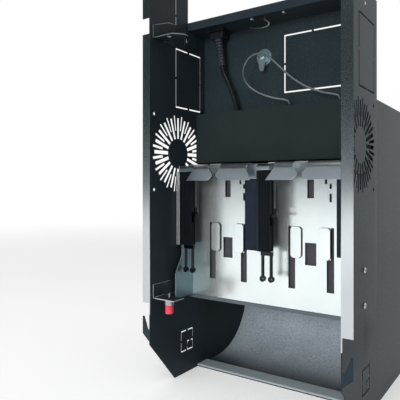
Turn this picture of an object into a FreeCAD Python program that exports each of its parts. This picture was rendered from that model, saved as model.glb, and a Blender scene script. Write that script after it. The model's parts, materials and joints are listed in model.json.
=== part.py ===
import FreeCAD, Part
import math
import os
import re

import Sketcher

Vector = FreeCAD.Vector
Rotation = FreeCAD.Rotation

doc = FreeCAD.newDocument("dispensing_cabinet")
sheet = doc.addObject("Spreadsheet::Sheet", "dims")

# Driving dimensions in millimetres. Depths run back from the front edge, heights up from the base.
DIMENSIONS = {
    # cabinet shell
    "cabinet_depth": 260.5,
    "cabinet_height": 609,
    "inner_width": 269,
    "wall": 1.5,
    "front_flange": 12,
    "frame_depth": 128.5,
    "post_depth": 84.5,
    "toe_depth": 53.5,
    "toe_height": 63,
    "flange_low": 120,
    "notch_low": 489,
    "notch_high": 511,
    "hook_low": 67,
    "hook_height": 34,
    "rail_drop": 12,
    # vent in the side walls
    "vent_depth": 61.5,
    "vent_height": 328,
    "vent_hole_spacing": 105,
    "vent_hole_radius": 2.3,
    "long_slot_inner": 22,
    "long_slot_outer": 52.5,
    "long_slot_width": 5,
    "short_slot_inner": 34,
    "short_slot_outer": 56,
    "short_slot_width": 3.6,
    # outlines cut for knock-outs
    "groove": 2.2,
    "bridge": 3,
    "side_knock_depth": 55.5,
    "side_knock_height": 395.5,
    "side_knock_width": 61.4,
    "side_knock_rise": 87.5,
    "low_knock_depth": 68,
    "low_knock_height": 32,
    "low_knock_width": 29.5,
    "low_knock_rise": 32,
    "inner_knock_size": 15,
    "back_knock_left": 5.5,
    "back_knock_lift": 22,
    "back_knock_width": 87,
    "back_knock_rise": 83,
    "post_slot_inset": 12.5,
    "post_slot_start": 12.5,
    # ceiling, band and rear housing
    "ceiling_height": 515,
    "ceiling_flange": 12,
    "tab_depth": 28,
    "tab_forward": 9,
    "tab_drop": 24,
    "ledge_depth": 23,
    "band_low": 316,
    "ledge_height": 391,
    "cover_recess": 2,
    "return_flange": 14,
    # delivery bin
    "bin_depth": 108.5,
    "bin_cove": 90,
    "bin_back": 8,
    "bin_height": 117.5,
    "ledge_hem": 5,
    "lip_depth": 27.5,
    "lip_height": 2.5,
    # magazine
    "magazine_depth": 88.5,
    "magazine_sheet": 1.2,
    "magazine_gap": 7,
    "shelf_gap": 5,
    "shelf_reach": 40,
    "shelf_notch": 20,
    "lip_drop": 23,
    "lip_bend": 8,
    "lip_corner": 6,
    "left_lip_start": 17.5,
    "left_bend_start": 29.5,
    "left_bend_end": 56,
    "left_lip_end": 61,
    "right_lip_start": 68,
    "right_bend_start": 74,
    "right_bend_end": 117,
    "right_lip_end": 122,
    "flange_reach": 42,
    "flange_upper_reach": 27,
    "flange_step_low": 36,
    "flange_step_high": 62,
    "side_return": 5,
    "return_reach": 33,
    "lane_centre": 62.6,
    "top_slot_width": 9,
    "top_slot_rise": 24.4,
    "top_slot_drop": 22,
    "window_width": 15.5,
    "window_rise": 29,
    "window_drop": 104.5,
    "lance_inner": 12.2,
    "lance_width": 15.3,
    "lance_rise": 41,
    "lance_drop": 84,
    "lance_proud": 3,
    "lance_corner": 3,
    "slit_width": 4,
    "side_slot_width": 9.5,
    "side_slot_rise": 41,
    "pilot_offset": 19.6,
    "pilot_width": 2.6,
    "pilot_rise": 6,
    "pilot_step": 6.2,
    "backing_gap": 3.3,
    "backing_width": 236,
    "backing_rise": 180,
    "backing_foot": 10,
    "spacer_radius": 4,
    "magazine_screw_low": 21,
    "magazine_screw_high": 63,
    # dispensing gate of each lane
    "gate_reach": 32,
    "gate_rise": 106,
    "gate_cap_rise": 9,
    "gate_cap_gap": 3,
    "bracket_width": 3,
    "housing_width": 15.5,
    "housing_depth": 12,
    "housing_wall": 1.5,
    "rib": 1,
    "stem_radius": 2,
    "rod_radius": 2.2,
    "first_rod": 6.6,
    "rod_spacing": 12.4,
    "rod_reach": 36,
    "crossbar_rise": 5,
    "foot_radius": 4,
    "foot_length": 4,
    "eye_radius": 1.5,
    "yoke_rise": 6,
    "yoke_depth": 5,
    "yoke_lift": 45,
    "gate_travel": 12,
    "solenoid_rise": 34,
    "solenoid_width": 10,
    "solenoid_depth": 6,
    "spring_offset": 25,
    "spring_radius": 2.9,
    "spring_wire": 1.3,
    "spring_curls": 15,
    "spring_top_lead": 10,
    "spring_low_lead": 7.5,
    "guide_width": 20,
    "guide_reach": 28,
    # hinge brackets and the spring plunger
    "upper_bracket_height": 484,
    "upper_bracket_width": 45,
    "upper_web_front": 18,
    "upper_web_rise": 31,
    "lower_bracket_height": 127,
    "lower_bracket_width": 38,
    "lower_web_rise": 18,
    "bracket_setback": 5,
    "bracket_depth": 22,
    "bracket_web": 46,
    "pivot_inset": 24,
    "pivot_setback": 12.5,
    "pivot_radius": 3,
    "pin_radius": 1.5,
    "pin_tip": 9,
    "running_clearance": 0.06,
    "easy_clearance": 0.3,
    "collar_radius": 6.25,
    "collar_height": 7,
    "barrel_radius": 4,
    "barrel_height": 8,
    "plunger_bore": 3.1,
    "shoulder_radius": 2.8,
    "shoulder_height": 1,
    "knob_radius": 5.5,
    "knob_height": 11,
    "knob_floor": 2.5,
    "plunger_spring_radius": 2.2,
    "plunger_spring_wire": 0.5,
    "plunger_spring_curls": 5,
    # cam lock in the upper back panel
    "lock_left": -25.5,
    "lock_lift": 77,
    "lock_radius": 8,
    "lock_length": 8,
    "lock_face_radius": 11.5,
    "lock_face": 3,
    "lock_nut_radius": 12.3,
    "lock_nut": 3.5,
    "plug_radius": 5.5,
    "cam_neck_radius": 3,
    "cam_thickness": 2,
    "cam_width": 11,
    "cam_length": 21,
    "keyway_width": 1.4,
    "keyway_height": 6,
    # mains inlet, connector and cords
    "inlet_left": -97,
    "inlet_setback": 16,
    "inlet_width": 27,
    "inlet_depth": 20,
    "inlet_rise": 11,
    "inlet_flange": 3,
    "inlet_flange_thickness": 2,
    "blade_thickness": 0.8,
    "blade_width": 6.3,
    "blade_length": 6,
    "blade_spacing": 7.9,
    "connector_width": 26,
    "connector_depth": 17,
    "connector_drop": 10,
    "connector_taper": 2,
    "relief_length": 42,
    "relief_root": 4,
    "relief_top_radius": 6.2,
    "relief_end_radius": 4.8,
    "relief_tilt": 9,
    "relief_ribs": 8,
    "cord_lead": 10,
    "cord_radius": 3.5,
    "cable_radius": 1.5,
    "grommet_wall": 2.2,
    "grommet_height": 2.5,
    "hook_wire": 1,
    # parts behind the band and on the rear cover
    "board_width": 150,
    "board_rise": 50,
    "board_thickness": 1.6,
    "standoff": 6,
    "standoff_radius": 2.5,
    "supply_width": 110,
    "supply_rise": 60,
    "supply_depth": 34,
    "supply_height": 250,
    # screws
    "ceiling_screw_left": -27.5,
    "ceiling_screw_right": 22.2,
    "ceiling_screw_setback": 8,
    "screw_radius": 2,
    "screw_head_radius": 3.6,
    "screw_head": 2,
}


def fill_sheet():
    for row, (alias, value) in enumerate(DIMENSIONS.items(), start=1):
        sheet.set(f"A{row}", alias.replace("_", " "))
        sheet.set(f"B{row}", str(value))
        sheet.setAlias(f"B{row}", alias)
    doc.recompute()


fill_sheet()

# Places that several pieces share, as expressions on the sheet.
FRONT = "(-cabinet_depth / 2)"
BACK = "(cabinet_depth / 2)"
INNER = "(inner_width / 2)"
OUTER = "(inner_width / 2 + wall)"
PANEL_BACK = f"({FRONT} + frame_depth)"
POST_BACK = f"({FRONT} + post_depth)"
BAND_FACE = f"({PANEL_BACK} - ledge_depth)"
PLATE_FACE = f"({FRONT} + magazine_depth)"
PLATE_SIDE = "(inner_width / 2 - magazine_gap)"
LANE_PITCH = f"({PLATE_SIDE})"
SHELF_TOP = "(band_low - shelf_gap)"
SHELF_UNDER = f"({SHELF_TOP} - magazine_sheet)"
COVER_FRONT = f"({BACK} - cover_recess - wall)"
BIN_FRONT = f"({FRONT} + bin_depth)"
BIN_TOP = "(wall + bin_cove + bin_back)"
GATE_TOP = f"({SHELF_UNDER} - gate_cap_rise)"
GATE_LOW = f"({GATE_TOP} - gate_rise)"
LANES = {"left": f"(-{PLATE_SIDE})", "right": "0"}


def bound(text):
    """An expression on the sheet, from one written with plain dimension names."""

    def cell(word):
        return f"dims.{word[0]}" if word[0] in DIMENSIONS else word[0]

    return re.sub(r"[a-z][a-z_]*", cell, str(text))


def size(text):
    """The present value of an expression."""
    return float(sheet.evalExpression(bound(text)))


def place(item, at, rotation=None):
    """Binds the three coordinates of an object's place."""
    if rotation:
        item.Placement = FreeCAD.Placement(Vector(), rotation)
    for axis, text in zip("xyz", at):
        item.setExpression(f"Placement.Base.{axis}", bound(text))
    return item


def box(name, low, extent):
    """A block from its low corner and its three lengths."""
    item = doc.addObject("Part::Box", name)
    for side, text in zip(("Length", "Width", "Height"), extent):
        item.setExpression(side, bound(text))
    return place(item, low)


TURNS = {"x": Rotation(Vector(0, 1, 0), 90), "y": Rotation(Vector(1, 0, 0), -90), "z": Rotation()}


def rod(name, radius, length, at, axis="z"):
    """A cylinder that starts at a point and runs along a row axis."""
    item = doc.addObject("Part::Cylinder", name)
    item.setExpression("Radius", bound(radius))
    item.setExpression("Height", bound(length))
    return place(item, at, TURNS[axis])


def fuse(name, pieces):
    item = doc.addObject("Part::MultiFuse", name)
    item.Shapes = pieces
    item.Refine = True
    return item


def cut(name, base, tools):
    """Takes tools out of a base, several of them as one compound."""
    tool = tools[0]
    if len(tools) > 1:
        tool = doc.addObject("Part::Compound", f"{name}_tools")
        tool.Links = tools
    item = doc.addObject("Part::Cut", name)
    item.Base = base
    item.Tool = tool
    return item


LOW_BACK = TURNS["x"]
TOP_FRONT = Rotation(Vector(1, 0, 0), 180).multiply(LOW_BACK)


def bend(name, outer, thickness, length, at, quarter):
    """A quarter of a tube along X, as sheet is bent round a line."""
    solid = rod(f"{name}_outer", outer, length, at, "x")
    solid.Placement.Rotation = quarter
    solid.Angle = 90
    hollow = rod(f"{name}_inner", f"{outer} - {thickness}", length, at, "x")
    return cut(name, solid, [hollow])


def group(name, pieces):
    item = doc.addObject("Part::Compound", name)
    item.Links = pieces
    return item


def sketch_of(body, plane, points):
    """A closed outline of straight lines, each corner bound to its two expressions."""
    sketch = body.newObject("Sketcher::SketchObject", f"{body.Name}_outline")
    support = [item for item in body.Origin.OriginFeatures if item.Role == f"{plane}_Plane"]
    sketch.AttachmentSupport = [(support[0], "")]
    sketch.MapMode = "FlatFace"
    corners = [Vector(size(across), size(up), 0) for across, up in points]
    for index, corner in enumerate(corners):
        sketch.addGeometry(Part.LineSegment(corner, corners[(index + 1) % len(corners)]))
    for index in range(len(corners)):
        following = (index + 1) % len(corners)
        sketch.addConstraint(Sketcher.Constraint("Coincident", index, 2, following, 1))
    for index, texts in enumerate(points):
        values = (corners[index].x, corners[index].y)
        for kind, text, value in zip(("DistanceX", "DistanceY"), texts, values):
            number = sketch.addConstraint(Sketcher.Constraint(kind, -1, 1, index, 1, value))
            sketch.setExpression(f"Constraints[{number}]", bound(text))
    return sketch


def plate(name, plane, points, thickness, at):
    """A flat piece: an outline in XY, XZ or YZ, padded towards the positive axis."""
    body = doc.addObject("PartDesign::Body", name)
    pad = body.newObject("PartDesign::Pad", f"{name}_pad")
    pad.Profile = sketch_of(body, plane, points)
    pad.Reversed = plane == "XZ"
    pad.setExpression("Length", bound(thickness))
    return place(body, at)


def turned(name, profile, at, rotation=None):
    """A turned piece from a profile of radius and height, about its own upright axis."""
    body = doc.addObject("PartDesign::Body", name)
    revolution = body.newObject("PartDesign::Revolution", f"{name}_turn")
    sketch = sketch_of(body, "XZ", profile)
    revolution.Profile = sketch
    revolution.ReferenceAxis = (sketch, ["V_Axis"])
    revolution.Angle = 360
    return place(body, at, rotation)


def mirrored(name, source):
    item = doc.addObject("Part::Mirroring", name)
    item.Source = source
    item.Normal = Vector(1, 0, 0)
    return item


nodes = {}


def node(label, item):
    """Keeps a finished sub-part under the name of its file."""
    item.Label = label
    nodes[label] = item
    return item


SCREW_TURNS = {
    "+x": Rotation(Vector(0, 1, 0), 90),
    "-x": Rotation(Vector(0, 1, 0), -90),
    "+y": Rotation(Vector(1, 0, 0), -90),
    "-y": Rotation(Vector(1, 0, 0), 90),
    "-z": Rotation(Vector(1, 0, 0), 180),
}


def screw(name, at, faces, grip):
    """A pan-head screw seated at a point, with its head facing a row axis and its shank behind."""
    profile = [
        ("0", f"-({grip})"),
        ("screw_radius", f"-({grip})"),
        ("screw_radius", "0"),
        ("screw_head_radius", "0"),
        ("screw_head_radius", "screw_head * 0.45"),
        ("screw_head_radius * 0.6", "screw_head"),
        ("0", "screw_head"),
    ]
    return turned(name, profile, at, SCREW_TURNS[faces])


def screw_hole(name, at, faces, grip):
    """The hole that a screw's shank fills, through the sheets it grips."""
    start = list(at)
    axis = faces[1]
    if faces[0] == "+":
        number = "xyz".index(axis)
        start[number] = f"{at[number]} - ({grip})"
    if faces == "-z":
        return rod(name, "screw_radius", grip, at, "z")
    return rod(name, "screw_radius", grip, start, axis)


# Screws: each group is a list of seats, the way the heads face, and the thickness they grip.
PAN_SCREW_SEATS = [
    (f"-{INNER} + wall", f"{POST_BACK} - tab_forward / 2", "ceiling_height - tab_drop * 0.7"),
]
CEILING_SCREW_SEATS = [
    (f"ceiling_screw_{side}", f"{POST_BACK} + ceiling_screw_setback", "ceiling_height")
    for side in ("left", "right")
]
MAGAZINE_SCREW_SEATS = [
    (f"-{OUTER}", f"{PLATE_FACE} - flange_upper_reach / 2", f"bin_height + magazine_screw_{end}")
    for end in ("low", "high")
]
COVER_SCREW_SEATS = [
    (f"{side} * ({INNER} - return_flange / 2)", f"{BACK} - cover_recess",
     f"{BIN_TOP} + {share} * ledge_height")
    for side in (-1, 1)
    for share in (0.1, 0.4, 0.7)
]
MAGAZINE_GRIP = "wall + magazine_gap - magazine_sheet"


def vent_slots():
    """Slots that point at the vent's centre, long ones and short ones in turn."""
    slots = []
    for index in range(40):
        kind = "long" if index % 2 == 0 else "short"
        angle = index * 9
        along, across = f"{kind}_slot_inner", f"{kind}_slot_width / 2"
        cosine, sine = f"cos({angle} deg)", f"sin({angle} deg)"
        low = (
            f"-{OUTER} - wall",
            f"{FRONT} + vent_depth + {along} * {cosine} + {across} * {sine}",
            f"vent_height + {along} * {sine} - {across} * {cosine}",
        )
        extent = ("wall * 3", f"{kind}_slot_outer - {along}", f"{kind}_slot_width")
        slot = box(f"vent_slot_{index}", low, extent)
        slot.Placement.Rotation = Rotation(Vector(1, 0, 0), angle)
        slots.append(slot)
    return slots


def vent_holes():
    holes = []
    for back in (-1, 1):
        for up in (-1, 1):
            at = (
                f"-{OUTER} - wall",
                f"{FRONT} + vent_depth + {back} * vent_hole_spacing / 2",
                f"vent_height + {up} * vent_hole_spacing / 2",
            )
            holes.append(rod(f"vent_hole_{back}_{up}", "vent_hole_radius", "wall * 3", at, "x"))
    return holes


def knock_out(name, corner, across, up, through):
    """Grooves round a knock-out, with a bridge left in the middle of each side.

    corner is the low corner, through the axis the grooves go through ("x" or "y").
    """
    grooves = []
    half_across, half_up = f"(({across} - bridge) / 2)", f"(({up} - bridge) / 2)"
    for end in (0, 1):
        for half in (0, 1):
            along = f"{half} * ({half_across} + bridge)"
            rise = f"{half} * ({half_up} + bridge)"
            level = (along, f"{end} * ({up} - groove)", half_across, "groove")
            upright = (f"{end} * ({across} - groove)", rise, "groove", half_up)
            for kind, (shift, lift, width, height) in (("level", level), ("upright", upright)):
                if through == "x":
                    low = (corner[0], f"{corner[1]} + {shift}", f"{corner[2]} + {lift}")
                    extent = ("wall * 3", width, height)
                else:
                    low = (f"{corner[0]} + {shift}", corner[1], f"{corner[2]} + {lift}")
                    extent = (width, "wall * 3", height)
                grooves.append(box(f"{name}_{kind}_{end}_{half}", low, extent))
    return grooves


def side_walls():
    """Folded side walls: the web, the front flange with its notch, and the hook below it."""
    outline = [
        ("0", "toe_height"),
        ("toe_depth", "0"),
        ("frame_depth", "0"),
        ("frame_depth", "ceiling_height + wall"),
        ("post_depth", "ceiling_height + wall"),
        ("post_depth", "cabinet_height"),
        ("0", "cabinet_height"),
    ]
    web = plate("wall_web", "YZ", outline, "wall", (f"-{OUTER}", FRONT, "0"))
    flange_left = f"-{OUTER} - front_flange"
    main = box("wall_flange", (flange_left, FRONT, "flange_low"),
               ("front_flange", "wall", "notch_low - flange_low"))
    upper = box("post_flange", (flange_left, FRONT, "notch_high"),
                ("front_flange", "wall", "cabinet_height - notch_high"))
    hook_outline = [
        ("front_flange", "0"),
        ("0", "hook_height * 0.3"),
        ("0", "hook_height"),
        ("front_flange * 0.2", "hook_height"),
        ("front_flange * 0.75", "hook_height * 0.5"),
        ("front_flange", "hook_height * 0.45"),
    ]
    hook = plate("wall_hook", "XZ", hook_outline, "wall", (flange_left, FRONT, "hook_low"))
    folded = fuse("wall_folded", [web, main, upper, hook])

    outside = f"-{OUTER} - wall"
    tools = vent_slots() + vent_holes()
    tools += knock_out("side_knock", (outside, f"{FRONT} + side_knock_depth", "side_knock_height"),
                       "side_knock_width", "side_knock_rise", "x")
    low_corner = (outside, f"{FRONT} + low_knock_depth", "low_knock_height")
    tools += knock_out("low_knock", low_corner, "low_knock_width", "low_knock_rise", "x")
    inner_corner = (outside, f"{low_corner[1]} + low_knock_width - inner_knock_size", "low_knock_height")
    tools += knock_out("inner_knock", inner_corner, "inner_knock_size", "inner_knock_size", "x")
    post_rise = "(cabinet_height - ceiling_height - wall - post_slot_inset)"
    upper_start = "(post_slot_start + bridge)"
    slots = (("0", "post_slot_start"), (upper_start, f"{post_rise} - {upper_start}"))
    for number, (start, rise) in enumerate(slots):
        low = (outside, f"{FRONT} + side_knock_depth", f"ceiling_height + wall + {start}")
        tools.append(box(f"post_slot_{number}", low, ("wall * 3", "groove", rise)))
    for number, (across, back, up) in enumerate(PAN_SCREW_SEATS):
        tools.append(screw_hole(f"pan_hole_{number}", (across, back, up), "+x", "wall * 2"))
    for number, (across, back, up) in enumerate(MAGAZINE_SCREW_SEATS):
        tools.append(screw_hole(f"wall_hole_{number}", (across, back, up), "-x", MAGAZINE_GRIP))
    left = node("left_side_wall", cut("left_wall", folded, tools))
    node("right_side_wall", mirrored("right_wall", left))


def top_rail():
    """Channel that ties the two posts together at the top."""
    skin = box("rail_skin", (f"-{INNER}", FRONT, "cabinet_height - wall"),
               ("inner_width", "post_depth", "wall"))
    low = "cabinet_height - rail_drop"
    lips = [
        box(f"rail_lip_{number}", (f"-{INNER}", depth, low), ("inner_width", "wall", "rail_drop"))
        for number, depth in enumerate((FRONT, f"{POST_BACK} - wall"))
    ]
    node("top_rail", fuse("rail", [skin] + lips))


def inlet_corner(margin, height):
    """Low corner of the inlet's rectangle, grown by a margin."""
    return (
        f"inlet_left - inlet_width / 2 - {margin}",
        f"{PANEL_BACK} - inlet_setback - inlet_depth / 2 - {margin}",
        height,
    )


def ceiling_pan():
    """Ceiling of the upper bay, with an upturned front flange and end tabs on the walls."""
    skin = box("pan_skin", (f"-{INNER}", POST_BACK, "ceiling_height"),
               ("inner_width", "frame_depth - post_depth", "wall"))
    flange = box("pan_flange", (f"-{INNER}", POST_BACK, "ceiling_height"),
                 ("inner_width", "wall", "ceiling_flange"))
    tabs = [
        box(f"pan_tab_{number}", (across, f"{POST_BACK} - tab_forward", "ceiling_height - tab_drop"),
            ("wall", "tab_depth", "tab_drop + wall"))
        for number, across in enumerate((f"-{INNER}", f"{INNER} - wall"))
    ]
    opening = box("inlet_opening", inlet_corner("0", "ceiling_height - wall"),
                  ("inlet_width", "inlet_depth", "wall * 3"))
    tools = [opening]
    for number, seat in enumerate(CEILING_SCREW_SEATS):
        tools.append(screw_hole(f"ceiling_hole_{number}", seat, "-z", "wall"))
    for number, (across, back, up) in enumerate(PAN_SCREW_SEATS):
        hole = screw_hole(f"tab_hole_{number}", (across, back, up), "+x", "wall * 2")
        tools += [hole, mirrored(f"tab_hole_far_{number}", hole)]
    node("ceiling_pan", cut("pan", fuse("pan_folded", [skin, flange] + tabs), tools))


def upper_back_panel():
    skin = box("panel_skin", (f"-{INNER}", f"{PANEL_BACK} - wall", "ledge_height"),
               ("inner_width", "wall", "ceiling_height - ledge_height"))
    corner = ("back_knock_left", f"{PANEL_BACK} - wall * 2", "ledge_height + back_knock_lift")
    tools = knock_out("back_knock", corner, "back_knock_width", "back_knock_rise", "y")
    tools.append(rod("lock_hole", "lock_radius", "wall * 3",
                     ("lock_left", f"{PANEL_BACK} - wall * 2", "ledge_height + lock_lift"), "y"))
    node("upper_back_panel", cut("panel", skin, tools))


INLET_BACK = f"({PANEL_BACK} - inlet_setback)"
CONNECTOR_TOP = "(ceiling_height - inlet_flange_thickness)"
CONNECTOR_LOW = f"({CONNECTOR_TOP} - connector_drop)"


def below_relief(reach):
    """A point on the strain relief's axis, that far from the connector."""
    across = f"inlet_left + {reach} * sin(relief_tilt * 1 deg)"
    return (across, INLET_BACK, f"{CONNECTOR_LOW} - {reach} * cos(relief_tilt * 1 deg)")


def in_bay(route, datum):
    """A hand-laid route in the upper bay: across, behind the panel's back, above a level."""
    return [(across, f"{PANEL_BACK} + {back}", f"{datum} + {up}") for across, back, up in route]


# Routes of the cords and of the hook, as points that the smooth line bends at.
CORD_POINTS = [below_relief("relief_length"), below_relief("(relief_length + cord_lead)")] + in_bay([
    (-79.0, -14.85, 42.5),
    (-71.4, -13.45, 21.5),
    (-67.0, -13.05, 9.0),
    (-67.0, -13.05, -2.5),
], "ledge_height")
CABLE_POINTS = in_bay([
    (20.4, -13.05, -2.5),
    (20.4, -13.05, 7.5),
    (11.5, -15.65, 10.2),
    (-6.0, -21.15, 13.8),
    (-26.4, -26.05, 23.0),
    (-41.8, -28.05, 35.9),
    (-47.4, -29.05, 52.2),
    (-42.0, -29.05, 67.3),
    (-31.3, -29.15, 75.7),
    (-17.6, -29.05, 76.6),
    (-3.0, -29.05, 68.4),
    (11.0, -28.05, 54.0),
    (27.6, -25.05, 37.3),
    (46.4, -21.05, 23.6),
    (67.0, -16.45, 14.2),
    (84.5, -13.45, 10.2),
    (92.4, -13.05, 7.5),
    (92.4, -13.05, -2.5),
], "ledge_height")
HOOK_POINTS = in_bay([
    (-8.8, -33.25, 0.0),
    (-8.8, -33.25, -3.0),
    (-4.6, -32.65, -6.4),
    (-1.4, -32.05, -9.2),
    (-5.0, -30.75, -12.4),
    (-15.0, -29.25, -12.8),
    (-27.5, -27.25, -10.5),
    (-37.0, -26.25, -7.5),
], "ceiling_height")
GROMMETS = {
    "cord_grommet": [(CORD_POINTS[-1], "cord_radius")],
    "cable_grommets": [(CABLE_POINTS[0], "cable_radius"), (CABLE_POINTS[-1], "cable_radius")],
}


def grommets():
    """Rubber rings in the ledge, each round the end of a cord."""
    holes = []
    for label, seats in GROMMETS.items():
        rings = []
        for number, ((across, back, _), radius) in enumerate(seats):
            name = f"{label}_{number}"
            rim = f"{radius} + easy_clearance + grommet_wall"
            neck = f"{radius} + easy_clearance + grommet_wall / 2"
            inner = f"{radius} + easy_clearance"
            profile = [
                (inner, "-wall"),
                (neck, "-wall"),
                (neck, "0"),
                (rim, "0"),
                (rim, "grommet_height * 0.5"),
                (neck, "grommet_height"),
                (inner, "grommet_height"),
            ]
            rings.append(turned(name, profile, (across, back, "ledge_height")))
            holes.append(rod(f"{name}_hole", neck, "wall * 3", (across, back, "ledge_height - wall * 2")))
        node(label, group(f"{label}_set", rings))
    return holes


def control_box_cover():
    """Band across the cabinet: a face with a ledge on top and a flange below."""
    low = (f"-{INNER}", BAND_FACE, "band_low")
    face = box("band_face", low, ("inner_width", "wall", "ledge_height - band_low"))
    flange = box("band_flange", low, ("inner_width", "ledge_depth", "wall"))
    ledge = box("band_ledge", (f"-{INNER}", BAND_FACE, "ledge_height - wall"),
                ("inner_width", "ledge_depth", "wall"))
    node("control_box_cover", cut("band", fuse("band_folded", [face, flange, ledge]), grommets()))


def cover_holes(name):
    """Holes of the rear cover's screws, through the cover and the flange in front of it."""
    return [
        screw_hole(f"{name}_{number}", seat, "+y", "wall * 2")
        for number, seat in enumerate(COVER_SCREW_SEATS)
    ]


def rear_housing():
    """Rear box: sides and top in one fold, with return flanges for the rear cover."""
    depth = f"{BACK} - {PANEL_BACK}"
    sides = []
    return_low = f"({BIN_TOP} + return_flange)"
    folds = ((f"-{OUTER}", f"-{INNER}"), (INNER, f"{INNER} - return_flange"))
    for number, (side, inward) in enumerate(folds):
        sides.append(box(f"housing_side_{number}", (side, PANEL_BACK, "0"), ("wall", depth, "ledge_height")))
        sides.append(box(f"housing_return_{number}", (inward, f"{COVER_FRONT} - wall", return_low),
                         ("return_flange", "wall", f"ledge_height - {return_low}")))
    top = box("housing_top", (f"-{OUTER}", PANEL_BACK, "ledge_height - wall"),
              (f"{OUTER} * 2", depth, "wall"))
    node("rear_housing", cut("housing", fuse("housing_folded", sides + [top]), cover_holes("return_hole")))
    skin = box("cover_skin", (f"-{INNER}", COVER_FRONT, "0"), ("inner_width", "wall", "ledge_height - wall"))
    node("rear_cover", cut("cover", skin, cover_holes("cover_hole")))


def delivery_bin():
    """Floor that sweeps up behind in a cove, a lip in front, and the ledge that closes it above."""
    radius = "(bin_cove + wall)"
    cove_front = f"({COVER_FRONT} - easy_clearance - {radius})"
    flat = box("bin_flat", (f"-{INNER}", BIN_FRONT, "0"),
               ("inner_width", f"{cove_front} - {BIN_FRONT}", "wall"))
    cove = bend("bin_sweep", radius, "wall", "inner_width", (f"-{INNER}", cove_front, radius), LOW_BACK)
    back = box("bin_wall", (f"-{INNER}", f"{cove_front} + bin_cove", radius),
               ("inner_width", "wall", "bin_back"))
    node("bin_floor", fuse("bin_sheet", [flat, cove, back]))
    outline = [
        ("0", "0"),
        ("lip_depth", "0"),
        ("lip_depth", "lip_height * 0.4"),
        ("lip_depth - lip_height", "lip_height"),
        ("lip_height * 0.4", "lip_height"),
        ("0", "lip_height * 0.6"),
    ]
    lip = plate("bin_lip", "YZ", outline, "inner_width", (f"-{INNER}", BIN_FRONT, "wall"))
    node("bin_front_lip", lip)
    ledge_front = f"{PLATE_FACE} - wall"
    skin = box("bin_ledge_skin", (f"-{INNER}", ledge_front, "bin_height - wall"),
               ("inner_width", f"{PANEL_BACK} - ({ledge_front})", "wall"))
    hem = box("bin_ledge_hem", (f"-{INNER}", ledge_front, "bin_height - ledge_hem"),
              ("inner_width", "wall", "ledge_hem"))
    node("bin_top_ledge", fuse("bin_ledge", [skin, hem]))


# Small slots beside the top slot: steps across, steps down, and share of the usual rise.
PILOTS = ((0, 0, 1), (1, 1, 1), (1, 3, 1.75))


def lane_openings(name, boundary):
    """Slots and raised lances of one lane of the magazine plate."""
    centre = f"({boundary} + lane_centre)"

    def hole(kind, across, drop, width, rise):
        low = (across, f"{PLATE_FACE} - magazine_sheet", f"{SHELF_TOP} - ({drop}) - ({rise})")
        return box(f"{name}_{kind}", low, (width, "magazine_sheet * 3", rise))

    tools = [
        hole(kind, f"{centre} - {kind}_width / 2", f"{kind}_drop", f"{kind}_width", f"{kind}_rise")
        for kind in ("top_slot", "window")
    ]
    for number, (over, down, share) in enumerate(PILOTS):
        tools.append(hole(f"pilot_{number}", f"{centre} + pilot_offset + {over} * pilot_step",
                          f"top_slot_drop + {down} * pilot_step", "pilot_width", f"pilot_rise * {share}"))

    octagon = [
        ("lance_corner", "0"),
        ("lance_width - lance_corner", "0"),
        ("lance_width", "lance_corner"),
        ("lance_width", "lance_rise - lance_corner"),
        ("lance_width - lance_corner", "lance_rise"),
        ("lance_corner", "lance_rise"),
        ("0", "lance_rise - lance_corner"),
        ("0", "lance_corner"),
    ]
    slit_top = "side_slot_rise + lance_rise"
    lance_low = f"({SHELF_TOP} - lance_drop - lance_rise)"
    lances = []
    for side, lance_left in ((-1, f"{centre} - lance_inner - lance_width"), (1, f"{centre} + lance_inner")):
        lances.append(plate(f"{name}_lance_{side}", "XZ", octagon, "lance_proud",
                            (lance_left, f"{PLATE_FACE} - lance_proud", lance_low)))
        slot_inner = f"{side} * (slit_width - side_slot_width)"
        slot = [
            (slot_inner, "0"),
            (f"{side} * slit_width", "0"),
            (f"{side} * slit_width", slit_top),
            ("0", slit_top),
            ("0", "side_slot_rise"),
            (slot_inner, "side_slot_rise"),
        ]
        low = (f"{centre} + {side} * (lance_inner + lance_width)", f"{PLATE_FACE} - magazine_sheet",
               f"{lance_low} - side_slot_rise")
        tools.append(plate(f"{name}_slot_{side}", "XZ", slot, "magazine_sheet * 3", low))
    return tools, lances


def lip_outline(lip, rise):
    """Face of a front lip: the corners by the gap are cut off, the outer side slants."""
    width = f"({lip}_lip_end - {lip}_lip_start)"
    top = [(f"{lip}_bend_end - {lip}_lip_start", rise), (f"{lip}_bend_start - {lip}_lip_start", rise)]
    if lip == "left":
        foot = [("0", "0"), (f"{width} - lip_corner", "0")]
        return foot + [(width, "lip_corner"), (width, f"{rise} - lip_corner")] + top
    return [("lip_corner", "0"), (width, "0")] + top + [("0", f"{rise} - lip_corner"), ("0", "lip_corner")]


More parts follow.
